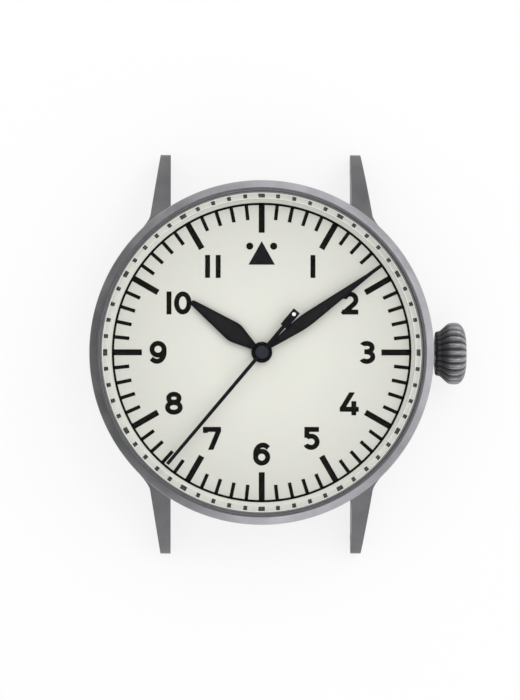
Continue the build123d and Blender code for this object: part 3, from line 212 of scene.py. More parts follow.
def rounded(outline: np.ndarray, radius: float, steps: int, most: float = 0.45) -> np.ndarray:
    """Round the corners of a closed outline with quadratic arcs.

    Each corner c between its neighbours a and b becomes the curve
    (1-t)^2 p + 2t(1-t) c + t^2 q, where p and q lie a radius away along its two sides.

    Args:
        outline: Array of x, y corners.
        radius: Reach of the rounding along each side.
        steps: Points in each rounded corner.
        most: Largest share of a side that a rounding takes.

    Returns:
        The finer outline.
    """
    ends = []
    for way in (1, -1):
        side = np.roll(outline, way, axis=0) - outline
        length = np.linalg.norm(side, axis=1, keepdims=True)
        ends.append((outline + side / length * np.minimum(radius, length * most))[:, None])
    t = np.linspace(0, 1, steps)[None, :, None]
    curve = (1 - t) ** 2 * ends[0] + 2 * t * (1 - t) * outline[:, None] + t**2 * ends[1]
    return curve.reshape(-1, 2)


def disc(radius: float, steps: int, centre: tuple[float, float]) -> np.ndarray:
    """Return the outline of a disc."""
    turn = np.linspace(0, 2 * np.pi, steps, endpoint=False)
    return np.column_stack([np.cos(turn), np.sin(turn)]) * radius + np.array(centre)


def turned(points: np.ndarray, degrees: float) -> np.ndarray:
    """Return flat points turned anticlockwise about the origin."""
    cosine, sine = math.cos(math.radians(degrees)), math.sin(math.radians(degrees))
    return points @ np.array([[cosine, sine], [-sine, cosine]])


def cell_polygons(case: int) -> list[tuple[int, ...]]:
    """List what of a square cell lies inside a shape, for one set of its inner corners.

    A walk round the cell takes each inner corner k, from 0 to 3, and the cut k + 4 of
    each side whose ends differ. Two inner corners that face each other stay apart.

    Args:
        case: Sum of 2^k over the inner corners.

    Returns:
        The inner polygons.
    """
    inner = [bool(case >> corner & 1) for corner in range(4)]
    if inner in ([True, False, True, False], [False, True, False, True]):
        return [(4 + (corner - 1) % 4, corner, 4 + corner) for corner in range(4) if inner[corner]]
    walk = []
    for corner in range(4):
        walk += [corner] if inner[corner] else []
        walk += [4 + corner] if inner[corner] != inner[(corner + 1) % 4] else []
    return [tuple(walk)] if walk else []


def raised_field(
    distance: Field, half_size: tuple[float, float], step: float, low: float, high: float
) -> Surface:
    """Raise the flat shape where a distance field is below zero.

    The field is sampled on a grid. A cell side whose ends have values a and b of unlike
    signs is cut at a / (a - b) of its length, and the cut cells' polygons make the top.

    Args:
        distance: Signed distance of x and y arrays to the shape's edge.
        half_size: Half of the sampled box along x and y.
        step: Grid spacing.
        low: Lower height.
        high: Upper height.

    Returns:
        The closed surface.
    """
    counts = [int(math.ceil(2 * half / step)) + 1 for half in half_size]
    xs, ys = (np.linspace(-half, half, count) for half, count in zip(half_size, counts))
    x, y = np.meshgrid(xs, ys, indexing="ij")
    value = distance(x, y)
    value = np.where(np.abs(value) < 1e-6, 1e-6, value)
    grid = np.stack([x, y], axis=-1)
    places, values = (
        [array[:-1, :-1], array[1:, :-1], array[1:, 1:], array[:-1, 1:]] for array in (grid, value)
    )
    for side in range(4):
        other = (side + 1) % 4
        span = values[side] - values[other]
        share = np.clip(values[side] / np.where(np.abs(span) < 1e-9, 1.0, span), 0, 1)[..., None]
        places.append(places[side] + (places[other] - places[side]) * share)
    cells = np.stack(places, axis=2).reshape(-1, 8, 2)
    cases = sum((values[k] < 0).astype(int) << k for k in range(4)).ravel()
    flat, faces, start = [], [], 0
    for case in range(16):
        for polygon in cell_polygons(case):
            corners = cells[cases == case][:, list(polygon)].reshape(-1, 2)
            faces += (start + np.arange(len(corners)).reshape(-1, len(polygon))).tolist()
            flat.append(corners)
            start += len(corners)
    points, top, _ = merged(np.vstack(flat), faces)
    return walled(points, top, low, high)


def walled(points: np.ndarray, faces: list[tuple[int, ...]], low: float, high: float) -> Surface:
    """Give a flat mesh a back and walls: sides used by one face only are its rim.

    Args:
        points: Array of x, y.
        faces: Faces, anticlockwise from above.
        low: Height of the back.
        high: Height of the front.

    Returns:
        The closed surface.
    """
    count = len(points)
    sides = {(face[i - 1], face[i]) for face in faces for i in range(len(face))}
    rim = sorted(side for side in sides if side[::-1] not in sides)
    backs = [tuple(number + count for number in face[::-1]) for face in faces]
    walls = [(b, a, a + count, b + count) for a, b in rim]
    solid = np.vstack([np.column_stack([points, np.full(count, z)]) for z in (high, low)])
    made = [*faces, *backs, *walls]
    return Surface(solid, made, np.zeros(len(made), int)).outward()


class Wire:
    """A number, colour or shader that flows through a material, with Python's operators on it."""

    def __init__(self, shading: "Shading", socket: bpy.types.NodeSocket) -> None:
        """Keep the output socket and the material that it is in."""
        self.shading = shading
        self.socket = socket

    def _with(self, operation: str, *others: "Wire | float", first: bool = True) -> "Wire":
        """Add one Math node.

        Args:
            operation: The node's operation.
            *others: Its other values.
            first: Whether this wire is its first value.

        Returns:
            The node's output.
        """
        values = (self, *others) if first else (*others, self)
        return self.shading.wire("ShaderNodeMath", {"operation": operation}, dict(enumerate(values)))

    def __add__(self, other: "Wire | float") -> "Wire":
        """Return the sum."""
        return self._with("ADD", other)

    def __sub__(self, other: "Wire | float") -> "Wire":
        """Return the difference."""
        return self._with("SUBTRACT", other)

    def __rsub__(self, other: float) -> "Wire":
        """Return a number less this."""
        return self._with("SUBTRACT", other, first=False)

    def __mul__(self, other: "Wire | float") -> "Wire":
        """Return the product."""
        return self._with("MULTIPLY", other)

    __radd__ = __add__
    __rmul__ = __mul__

    def hypotenuse(self, other: "Wire") -> "Wire":
        """Return the root of the sum of the two squares."""
        return (self * self + other * other)._with("POWER", 0.5)

    def sine(self) -> "Wire":
        """Return the sine."""
        return self._with("SINE")

    def clamped(self, low: float, high: float) -> "Wire":
        """Return 0 below low, 1 above high and a straight ramp between."""
        inputs = {"Value": self, "From Min": low, "From Max": high, "To Min": 0.0, "To Max": 1.0}
        return self.shading.wire("ShaderNodeMapRange", {"clamp": True}, inputs)


class Shading:
    """The node tree of one material or world."""

    def __init__(self, tree: bpy.types.NodeTree) -> None:
        """Empty the tree and keep it."""
        self.tree = tree
        self.tree.nodes.clear()

    def node(self, kind: str, settings: dict | None = None, inputs: dict | None = None) -> bpy.types.Node:
        """Add a node.

        Args:
            kind: The node's type.
            settings: Attributes that are set before its sockets are used.
            inputs: Socket names or numbers with a wire, number or colour each.

        Returns:
            The node.
        """
        made = self.tree.nodes.new(kind)
        for name, value in (settings or {}).items():
            setattr(made, name, value)
        for name, value in (inputs or {}).items():
            socket = made.inputs[name]
            if isinstance(value, Wire):
                self.tree.links.new(value.socket, socket)
            elif socket.type == "RGBA":
                socket.default_value = (*value, 1)
            else:
                socket.default_value = value
        return made

    def wire(
        self, kind: str, settings: dict | None = None, inputs: dict | None = None, output: str = ""
    ) -> Wire:
        """Add a node and return its first output, or the named one."""
        return Wire(self, self.node(kind, settings, inputs).outputs[output or 0])

    def split(self, vector: Wire) -> list[Wire]:
        """Return x, y and z of a vector."""
        return [Wire(self, part) for part in self.node("ShaderNodeSeparateXYZ", inputs={0: vector}).outputs]

    def place(self) -> Wire:
        """Return the point in the object's own space, in metres."""
        return self.wire("ShaderNodeTexCoord", output="Object")

    def axes(self) -> list[Wire]:
        """Return x, y and z of the point in millimetres."""
        return [part * (1 / MM) for part in self.split(self.place())]

    def rays(self, *kinds: str) -> Wire:
        """Return 1 for rays of the named kinds and 0 for others.

        Args:
            *kinds: Kinds of rays, as Light Path names them.

        Returns:
            The sum of their flags, at most 1.
        """
        path = self.node("ShaderNodeLightPath").outputs
        first, *others = [Wire(self, path[f"Is {kind} Ray"]) for kind in kinds]
        return sum(others, first).clamped(0, 1)

    def noise(self, size: float, detail: float = 2.0, place: Wire | None = None, rough: float = 0.5) -> Wire:
        """Return cloudy noise from 0 to 1.

        Args:
            size: Size of its grains in millimetres.
            detail: Octaves of finer noise.
            place: Coordinates in metres, or nothing for the object's own.
            rough: Weight of the finer noise.

        Returns:
            The noise.
        """
        inputs = {"Vector": place or self.place(), "Scale": 1 / (size * MM), "Detail": detail}
        return self.wire("ShaderNodeTexNoise", {}, {**inputs, "Roughness": rough}, "Fac")

    def blend(self, share: Wire | float, first: Colour | Wire, second: Colour | Wire) -> Wire:
        """Mix two colours by the share of the second."""
        mix = self.node("ShaderNodeMix", {"data_type": "RGBA"}, {"Factor": share, 6: first, 7: second})
        return Wire(self, mix.outputs[2])

    def either(self, share: Wire | float, first: Wire, second: Wire) -> Wire:
        """Mix two shaders by the share of the second."""
        return self.wire("ShaderNodeMixShader", {}, {0: share, 1: first, 2: second})

    def bump(self, height: Wire, depth: float) -> Wire:
        """Turn a height from 0 to 1 into a normal, for its real depth in millimetres."""
        return self.wire("ShaderNodeBump", {}, {"Height": height, "Distance": depth * MM, "Strength": 1.0})

    def principled(self, **inputs: Wire | float | Colour) -> Wire:
        """Return the surface shader, with underscores in the socket names for spaces."""
        named = {name.replace("_", " "): value for name, value in inputs.items()}
        return self.wire("ShaderNodeBsdfPrincipled", {}, named)


def srgb(red: float, green: float, blue: float) -> Colour:
    """Return screen levels from 0 to 255 as linear light.

    Args:
        red: Red level.
        green: Green level.
        blue: Blue level.

    Returns:
        Linear red, green and blue.
    """
    levels = np.array([red, green, blue]) / 255
    linear = np.where(levels <= 0.04045, levels / 12.92, ((levels + 0.055) / 1.055) ** 2.4)
    return tuple(float(level) for level in linear)


def scaled(colour: Colour, factor: float, lift: float = 0.0) -> Colour:
    """Return a colour times a factor and lifted, at most white."""
    return tuple(min(1.0, factor * level + lift) for level in colour)


@dataclass(frozen=True)
class Coating:
    """What every finish has: a name, a colour and the shader that its kind works out."""

    name: str
    colour: Colour

    def shader(self, shading: Shading) -> Wire:
        """Return the shader of this kind of finish."""
        raise NotImplementedError

    def material(self) -> bpy.types.Material:
        """Return the finish as a material.

        Returns:
            The material.
        """
        material = bpy.data.materials.new(self.name)
        material.use_nodes = True
        shading = Shading(material.node_tree)
        shading.node("ShaderNodeOutputMaterial", {}, {"Surface": self.shader(shading)})
        return material


@dataclass(frozen=True)
class BlastedSteel(Coating):
    """Steel matted with fine beads: a pitted skin with soft, cloudy changes of sheen."""

    roughness: float
    cloud_size: float = 3.0
    pit_size: float = 0.09
    pit_depth: float = 0.012

    def shader(self, shading: Shading) -> Wire:
        """Return dark and pale clouds under fine pits.

        Args:
            shading: The material's tree.

        Returns:
            The shader.
        """
        pits = shading.noise(self.pit_size, 3.0, rough=0.65)
        clouds = shading.noise(self.cloud_size, 4.0)
        handled = shading.noise(self.cloud_size / 6, 2.0)
        share = (clouds * 0.65 + pits * 0.35).clamped(0.25, 0.75)
        return shading.principled(
            Base_Color=shading.blend(share, scaled(self.colour, 0.72), scaled(self.colour, 1.18)),
            Metallic=1.0,
            Roughness=clouds * 0.08 + handled * 0.05 + pits * 0.06 + (self.roughness - 0.09),
            Normal=shading.bump(pits, self.pit_depth),
        )


class Lay(Enum):
    """Direction of the fine lines that a cutter or brush leaves."""

    CIRCLES = "circles about the centre line"
    STRIPES = "straight stripes"
    RINGS_ON_STEM = "circles about the stem"
    CLOUDY = "no direction"


@dataclass(frozen=True)
class TurnedMetal(Coating):
    """Machined metal with the lines of its cutting, clearer or fainter by depth."""

    roughness: float = 0.25
    lay: Lay = Lay.CIRCLES
    line_size: float = 0.05
    line_depth: float = 0.002
    stripe_width: float = 0.0
    stripe_way: tuple[float, float] = (0.94, 0.34)
    stretch: float = 0.02

    def lines(self, shading: Shading) -> Wire:
        """Return the pattern of lines, from 0 to 1.

        Noise is stretched along the lines: it reads the distance across them at full
        scale and the other directions hardly at all.

        Args:
            shading: The material's tree.

        Returns:
            The pattern.
        """
        x, y, z = shading.axes()
        if self.lay is Lay.CLOUDY:
            return shading.noise(self.line_size * 4, 3.0)
        if self.lay is Lay.STRIPES:
            cosine, sine = self.stripe_way
            across, along, other = x * cosine + y * sine, y * cosine - x * sine, z
        elif self.lay is Lay.RINGS_ON_STEM:
            across, along, other = y.hypotenuse(z - STEM_AXIS), x * 4, z * 0.05
        else:
            across, along, other = x.hypotenuse(y), z, x * 0.02
        stretched = [part * (self.stretch * MM) for part in (along, other)]
        place = shading.wire("ShaderNodeCombineXYZ", {}, dict(enumerate([across * MM, *stretched])))
        return shading.noise(self.line_size, 3.0, place, 0.6)

    def shader(self, shading: Shading) -> Wire:
        """Return cut lines over soft clouds, with the bridges' broad stripes where asked.

        Args:
            shading: The material's tree.

        Returns:
            The shader.
        """
        lines = self.lines(shading)
        clouds = shading.noise(2.5, 3.0)
        share = lines * 0.5 + clouds * 0.5
        if self.stripe_width:
            x, y, _ = shading.axes()
            across = x * self.stripe_way[0] + y * self.stripe_way[1]
            wave = (across * (2 * math.pi / self.stripe_width)).sine()
            share = share * 0.5 + wave * 0.25 + 0.25
        return shading.principled(
            Base_Color=shading.blend(share, scaled(self.colour, 0.78), self.colour),
            Metallic=1.0,
            Roughness=lines * 0.12 + clouds * 0.06 + (self.roughness - 0.09),
            Normal=shading.bump(lines, self.line_depth),
        )


@dataclass(frozen=True)
class DialPaint(Coating):
    """Cream dial paint with painted shade that darkens it from the middle to the rim, and the faint skin of
    sprayed lacquer.
    """

    rim: Colour
    border: Colour
    fade: tuple[float, float] = (6.615, 18.9)
    border_fade: tuple[float, float] = (17.9, 18.6)

    def shader(self, shading: Shading) -> Wire:
        """Return paint with painted shade from the middle to the rim, with a paler border.

        Args:
            shading: The material's tree.

        Returns:
            The shader.
        """
        x, y, _ = shading.axes()
        radius = x.hypotenuse(y)
        mottle = shading.noise(5.0, 3.0)
        grain = shading.noise(0.12, 3.0, rough=0.6)
        # Painted shade: the paint fades to the darker rim colour, where the bezel shades the dial.
        base = shading.blend(radius.clamped(*self.fade), self.colour, self.rim)
        tone = shading.blend(mottle * 0.22 + grain * 0.12, base, scaled(self.rim, 0.965))
        return shading.principled(
            Base_Color=shading.blend(radius.clamped(*self.border_fade), tone, self.border),
            Roughness=grain * 0.12 + 0.5,
            Normal=shading.bump(grain, 0.004),
            Specular_IOR_Level=0.25,
        )


@dataclass(frozen=True)
class Print(Coating):
    """Pad-printed ink or lacquer: a dense colour with a slightly uneven skin."""

    roughness: float
    gloss: float = 0.3
    skin_size: float = 0.25
    skin_depth: float = 0.003

    def shader(self, shading: Shading) -> Wire:
        """Return the colour with a little unevenness in tone, sheen and height.

        Args:
            shading: The material's tree.

        Returns:
            The shader.
        """
        skin = shading.noise(self.skin_size, 3.0)
        fine = shading.noise(self.skin_size / 5, 2.0)
        lighter = scaled(self.colour, 1.35, 0.004)
        return shading.principled(
            Base_Color=shading.blend(skin * 0.6 + fine * 0.3, self.colour, lighter),
            Roughness=fine * 0.14 + skin * 0.08 + (self.roughness - 0.11),
            Normal=shading.bump(skin * 0.6 + fine * 0.4, self.skin_depth),
            Specular_IOR_Level=self.gloss,
        )


@dataclass(frozen=True)
class Sapphire(Coating):
    """Clear sapphire with a thin coating that holds its reflections down, and where asked a pale matt layer of
    painted sheen.
    """

    painted_sheen: float = 0.0
    index: float = 1.77
    reflection: float = 0.12

    def shader(self, shading: Shading) -> Wire:
        """Return glass that is clear to the rays that light what is under it.

        Args:
            shading: The material's tree.

        Returns:
            The shader.
        """
        haze = shading.noise(4.0, 2.0)
        glass = shading.principled(
            Base_Color=self.colour,
            Roughness=haze * 0.004,
            Transmission_Weight=1.0,
            IOR=self.index,
            Specular_Tint=(self.reflection,) * 3,
        )
        clear = shading.wire("ShaderNodeBsdfTransparent", {}, {0: (0.995, 0.995, 0.995)})
        mixed = shading.either(shading.rays("Shadow", "Diffuse", "Glossy"), glass, clear)
        if not self.painted_sheen:
            return mixed
        # Painted sheen: a pale matt layer brightens the glass, standing in for the bevel's bright reflections.
        pale = shading.wire("ShaderNodeBsdfDiffuse", {}, {"Color": (0.95, 0.95, 0.94)})
        return shading.either((haze * 0.5 + 0.75) * self.painted_sheen, mixed, pale)


@dataclass(frozen=True)
class Jewel(Coating):
    """Ruby of a bearing: deep pink, glossy, a little cloudy inside."""

    def shader(self, shading: Shading) -> Wire:
        """Return glossy stone with pale clouds.

        Args:
            shading: The material's tree.

        Returns:
            The shader.
        """
        clouds = shading.noise(0.4, 3.0)
        return shading.principled(
            Base_Color=shading.blend(clouds * 0.7, self.colour, scaled(self.colour, 1.3, 0.03)),
            Roughness=clouds * 0.08 + 0.04,
            Coat_Weight=1.0,
        )


@dataclass(frozen=True)
class CrownSteel(Coating):
    """Matt steel of the crown, with painted shade at the foot of its flutes and on its neck towards the case.
    """

    shade_colour: Colour
    roughness: float = 0.4
    neck_shade: tuple[float, float] = (21.35, 23.25)

    def shader(self, shading: Shading) -> Wire:
        """Return steel with painted shade that darkens it by the piece's own flute depth and towards the case.

        Args:
            shading: The material's tree.

        Returns:
            The shader.
        """
        depth = shading.wire("ShaderNodeAttribute", {"attribute_name": "flute_depth"}, output="Fac")
        pits = shading.noise(0.1, 3.0, rough=0.6)
        tone = shading.blend(shading.noise(1.2, 3.0) * 0.7, scaled(self.colour, 0.8), self.colour)
        # Painted shade: the flutes darken towards their foot, by the depth that the piece writes down.
        tone = shading.blend(depth.clamped(0.2, 0.95) * 0.85, tone, self.shade_colour)
        # Painted shade: the neck darkens towards the case.
        outward = shading.axes()[0].clamped(*self.neck_shade)
        return shading.principled(
            Base_Color=shading.blend(1 - outward, tone, self.shade_colour),
            Metallic=1.0,
            Roughness=pits * 0.1 + depth * 0.15 + (self.roughness - 0.05),
            Normal=shading.bump(pits, 0.006),
        )


@dataclass(frozen=True)
class Paper(Coating):
    """Paper of the floor, white to the eye and in mirrors, matt to the light."""

    def shader(self, shading: Shading) -> Wire:
        """Return matt paper under a share of plain white for rays that look at it.

        Args:
            shading: The material's tree.

        Returns:
            The shader.
        """
        tone = shading.blend(shading.noise(40.0, 3.0), self.colour, scaled(self.colour, 1.0, 0.04))
        matt = shading.wire("ShaderNodeBsdfDiffuse", {}, {"Color": tone})
        white = shading.wire("ShaderNodeEmission", {}, {"Color": (1.0, 1.0, 1.0), "Strength": 1.0})
        return shading.either(shading.rays("Camera", "Glossy", "Transmission") * 0.8, matt, white)


class Finish(Enum):
    """Every finish of the watch."""

    CASE = BlastedSteel("blasted_case_steel", (0.22, 0.22, 0.22), 0.42)
    BEZEL = BlastedSteel("blasted_bezel_steel", (0.55, 0.55, 0.555), 0.34)
    LIP = TurnedMetal("turned_bezel_lip", (0.44, 0.442, 0.446), 0.28)
    SKIRT = Print("silvered_skirt", srgb(214, 214, 208), 0.5, 0.2, skin_size=0.15)
    # The crown's second colour is its painted shade, in the flutes and on the neck.
    CROWN = CrownSteel("crown_steel", (0.42, 0.42, 0.425), (0.07, 0.07, 0.072))
    CROWN_END = BlastedSteel("blasted_crown_end", (0.33, 0.33, 0.335), 0.36, 1.2)
    TUBE = TurnedMetal("tube_steel", (0.3, 0.3, 0.31), 0.25, Lay.RINGS_ON_STEM)
    SAPPHIRE = Sapphire("sapphire_crystal", (0.985, 0.992, 0.99))
    # The bevel carries 0.04 of painted sheen, a pale matt layer.
    SAPPHIRE_EDGE = Sapphire("sapphire_bevel", (0.985, 0.992, 0.99), 0.04)
    # The dial's second colour is its rim, darker by painted shade; the third is the paler border.
    DIAL = DialPaint("cream_dial_paint", srgb(227, 227, 218), srgb(209, 209, 201), srgb(230, 230, 224))
    DIAL_BLANK = TurnedMetal("dial_blank_brass", (0.6, 0.44, 0.2), 0.3)
    INK = Print("black_dial_ink", srgb(15, 15, 11), 0.6, 0.05)
    TRIANGLE_INK = Print("blue_black_ink", srgb(24, 24, 27), 0.6, 0.05)
    HAND = Print("hand_lacquer", srgb(16, 16, 19), 0.4, 0.1)
    HAND_FILL = Print("hand_fill", srgb(28, 28, 29), 0.6, 0.06, skin_size=0.5)
    BOSS = Print("boss_lacquer", srgb(3, 9, 16), 0.38, 0.07)
    CAP = Print("cap_lacquer", srgb(40, 42, 48), 0.45, 0.12)
    LUME = Print("pale_lume", srgb(232, 233, 224), 0.6, skin_size=0.15)
    SEAL = Print("seal_rubber", srgb(102, 103, 104), 0.5, 0.35)
    BLACK_SEAL = Print("black_rubber", srgb(28, 28, 29), 0.55, 0.35)
    PLATE = TurnedMetal("rhodium_plate", (0.62, 0.6, 0.56), 0.28, Lay.STRIPES, stripe_width=2.0)
    BRASS = TurnedMetal("wheel_brass", (0.78, 0.57, 0.24), 0.24)
    WORK_STEEL = TurnedMetal("work_steel", (0.52, 0.52, 0.54), 0.22)
    SCREW = TurnedMetal("blued_screw_steel", (0.06, 0.09, 0.28), 0.18, Lay.CLOUDY)
    RUBY = Jewel("synthetic_ruby", (0.55, 0.02, 0.07))
    BACK = TurnedMetal("turned_back_steel", (0.5, 0.5, 0.51), 0.3, line_size=0.12, line_depth=0.004)

    @cache
    def material(self) -> bpy.types.Material:
        """Return the finish's material, made once."""
        return self.value.material()


def placed(name: str, data: bpy.types.ID) -> bpy.types.Object:
    """Return a new object that holds the data, linked to the scene.

    Args:
        name: Its name.
        data: A mesh, a light or a camera.

    Returns:
        The object.
    """
    made = bpy.data.objects.new(name, data)
    bpy.context.scene.collection.objects.link(made)
    return made


def meshed(name: str, surface: Surface) -> bpy.types.Object:
    """Return a new object with a surface as its mesh.

    Args:
        name: Its name.
        surface: The surface.

    Returns:
        The object.
    """
    mesh = bpy.data.meshes.new(name)
    mesh.from_pydata((surface.points * MM).tolist(), [], surface.faces)
    mesh.polygons.foreach_set("material_index", surface.marks.astype(np.int32))
    return placed(name, mesh)


@dataclass
class Piece:
    """One finished piece of the watch and how it is held."""

    name: str
    surface: Surface
    finishes: Sequence[Finish]
    body: str
    slot: str
    replaces: Sequence[str] = ()
    crease: float = 30.0
    edge: float = 0.0
    edge_steps: int = 2

    def build(self) -> bpy.types.Object:
        """Make the object with its finishes and edges, ride it on its body and log it.

        Returns:
            The object.
        """
        made = meshed(self.name, self.surface)
        made.data.validate()
        for finish in self.finishes:
            made.data.materials.append(finish.material())
        made.data.shade_smooth()
        made.data.set_sharp_from_angle(angle=math.radians(self.crease))
        if self.edge:
            bevel = made.modifiers.new("edges", "BEVEL")
            bevel.width = self.edge * MM
            bevel.segments = self.edge_steps
            bevel.limit_method = "ANGLE"
            bevel.angle_limit = math.radians(self.crease)
            bevel.harden_normals = True
        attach(made, self.body)
        if self.replaces:
            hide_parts(*self.replaces)
        LOG.info("%s: %d faces, rides on %s", self.name, len(made.data.polygons), self.body)
        return made


def combined(base: Surface, added: Sequence[Surface], cut: Sequence[Surface]) -> Surface:
    """Join and cut solids exactly.

    Args:
        base: The first solid.
        added: Solids that join it.
        cut: Solids that are then taken away.

    Returns:
        The resulting surface.
    """
    body = meshed("base", base)
    helpers = [body]
    for operation, surfaces in (("UNION", added), ("DIFFERENCE", cut)):
        for surface in surfaces:
            helpers.append(meshed("tool", surface))
            step = body.modifiers.new("step", "BOOLEAN")
            step.operation, step.solver, step.object = operation, "EXACT", helpers[-1]
    graph = bpy.context.evaluated_depsgraph_get()
    mesh = body.evaluated_get(graph).to_mesh()
    points = np.array([vertex.co for vertex in mesh.vertices]) / MM
    faces = [tuple(polygon.vertices) for polygon in mesh.polygons]
    for helper in helpers:
        bpy.data.objects.remove(helper)
    return Surface(points, faces, np.zeros(len(faces), int))


@dataclass
class CaseBody:
    """The case ring with its four lugs, in one piece."""

    radius: float = 21.0
    bore: float = 18.42
    thread_bore: float = 19.02
    pocket: float = 19.04
    shoulder: float = 2.2
    ledge: float = 6.2
    bottom_edge: float = 0.14
    edge_share: float = 0.3
    top_edge: float = 0.05
    segments: int = 240
    inner_x: float = 11.1
    tip_y: float = 24.65
    tip_width: float = 1.25
    root_width: float = 2.48
    root_y: float = 16.85
    flare_angle: float = 43.6
    root_reach: float = 19.7
    crest_y: float = 11.0
    crest_z: float = 8.45
    crest_radius: float = 17.755
    heel: tuple[float, float] = (14.0, 1.7)
    tip_top: tuple[float, float] = (24.35, 2.4)
    tip_bottom: tuple[float, float] = (24.05, 0.3)
    bar_y: float = 22.55
    bar_z: float = 1.75
    bar_radius: float = 0.5
    bar_reach: float = 14.5
    tube_radius: float = 1.32
    tube_span: tuple[float, float] = (17.0, 22.0)

    def ring(self) -> Surface:
        """Return the turned ring with its seats for the back, the movement and the dial.

        Returns:
            The closed surface.
        """
        low, edge, top_edge = CASE_BOTTOM, self.bottom_edge, self.top_edge
        profile = (
            (self.thread_bore, low),
            (self.radius - edge, low),
            (self.radius - self.edge_share * edge, low + self.edge_share * edge),
            (self.radius, low + edge),
            (self.radius, BEZEL_FOOT - top_edge),
            (self.radius - top_edge, BEZEL_FOOT),
            (self.pocket, BEZEL_FOOT),
            (self.pocket, self.ledge),
            (self.bore, self.ledge),
            (self.bore, self.shoulder),
            (self.thread_bore, self.shoulder),
        )
        return lathe(profile, self.segments)

    def outer_line(self, count: int) -> np.ndarray:
        """Return the lug's outer edge from inside the ring to the tip.

        The foot is a quadratic curve from the ring's round into the straight flank:
        (1-t)^2 a + 2t(1-t) b + t^2 c. In the rounded tip the stations come closer together.

        Args:
            count: Points along the foot.

        Returns:
            Array of x, y.
        """
        angle = math.radians(self.flare_angle)
        way = np.array([math.cos(angle), math.sin(angle)])
        along_round = np.array([-way[1], way[0]])
        start = way * self.radius
        end = np.array([self.inner_x + self.root_width, self.root_y])
        tip = np.array([self.inner_x + self.tip_width, self.tip_y])
        flank = (end - tip) / np.linalg.norm(end - tip)
        lengths = np.linalg.solve(np.column_stack([along_round, -flank]), end - start)
        corner = start + along_round * lengths[0]
        t = np.linspace(0, 1, count)[:, None]
        foot = (1 - t) ** 2 * start + 2 * t * (1 - t) * corner + t**2 * end
        last = self.tip_bottom[0]
        turn = np.linspace(0, np.pi / 2, 9)[1:]
        levels = [np.linspace(self.root_y, last, 26)[1:], last + (self.tip_y - last) * np.sin(turn)]
        y = np.concatenate(levels)
        widening = (self.root_width - self.tip_width) / (self.tip_y - self.root_y)
        x = tip[0] + (self.tip_y - y) * widening
        return np.vstack([way[None] * self.root_reach, foot, np.column_stack([x, y])])

    def tip_round(self) -> tuple[np.ndarray, float]:
        """Return the centre (y, z) and radius of the circle through the tip's three points.

        Returns:
            The centre and the radius.
        """
        a, c = np.array(self.tip_top), np.array(self.tip_bottom)
        b = np.array([self.tip_y, (a[1] + c[1]) / 2])
        centre = np.linalg.solve(np.array([b - a, c - a]) * 2, [b @ b - a @ a, c @ c - a @ a])
        return centre, float(np.linalg.norm(b - centre))

    def heights(self, y: np.ndarray) -> tuple[np.ndarray, np.ndarray]:
        """Work out a lug's top and bottom line, closed by the tip's circle.

        The top is a quarter turn that leaves the crest level: z = crest - r + root(r^2 - d^2)
        at the distance d from it. The bottom is straight from the heel to the tip.

        Args:
            y: Distances from the centre line.

        Returns:
            The upper and the lower heights.
        """
        centre, radius = self.tip_round()
        bulge = np.sqrt(np.maximum(radius**2 - (y - centre[0]) ** 2, 0.0))
        drop = np.sqrt(np.maximum(self.crest_radius**2 - (y - self.crest_y) ** 2, 0.0))
        high = np.where(y > self.tip_top[0], centre[1] + bulge, self.crest_z - self.crest_radius + drop)
        slope = (self.heel[1] - self.tip_bottom[1]) / (self.tip_bottom[0] - self.heel[0])
        low = np.minimum(self.tip_bottom[1] + (self.tip_bottom[0] - y) * slope, self.heel[1])
        return high, np.where(y > self.tip_bottom[0], centre[1] - bulge, low)

    def lug(self) -> Surface:
        """Return one lug, at plus x and plus y.

        Its stations run from the ring to the tip. Each has four corners: the inner and
        the outer edge, at the height of the top line and of the bottom line. The inner
        edge waits at the ring while the outer edge comes round the foot.

        Returns:
            The closed surface.
        """
        outer = self.outer_line(14)
        count = len(outer)
        wait = math.sqrt(self.root_reach**2 - self.inner_x**2)
        inner = np.column_stack([np.full(count, self.inner_x), np.maximum(outer[:, 1], wait)])
        rows = []
        for edge, side in ((inner, 0), (outer, 0), (outer, 1), (inner, 1)):
            rows.append(np.column_stack([edge, self.heights(edge[:, 1])[side]]))
        faces = grid_faces(count, 4, False).tolist()
        faces += [[3, 2, 1, 0], [4 * count - k for k in (4, 3, 2, 1)]]
        return welded(np.stack(rows, axis=1).reshape(-1, 3), faces, np.zeros(len(faces), int))

    def build(self) -> None:
        """Join the ring and the lugs, drill them for the bars and the tube, and dress the case."""
        lug = self.lug()
        lugs = [lug.moved(np.diag([across, along, 1])) for across in (1, -1) for along in (1, -1)]
        bar = rod(self.bar_radius, -self.bar_reach, self.bar_reach, 32)
        holes = [bar.moved(ALONG_STEM, (0, way * self.bar_y, self.bar_z)) for way in (1, -1)]
        holes.append(rod(self.tube_radius, *self.tube_span, 40).moved(ALONG_STEM, (0, 0, STEM_AXIS)))
        surface = combined(self.ring(), lugs, holes)
        replaced = ["case_middle", "lugs"]
        Piece("case_body", surface, [Finish.CASE], "case", "case_steel", replaced, edge=0.07).build()


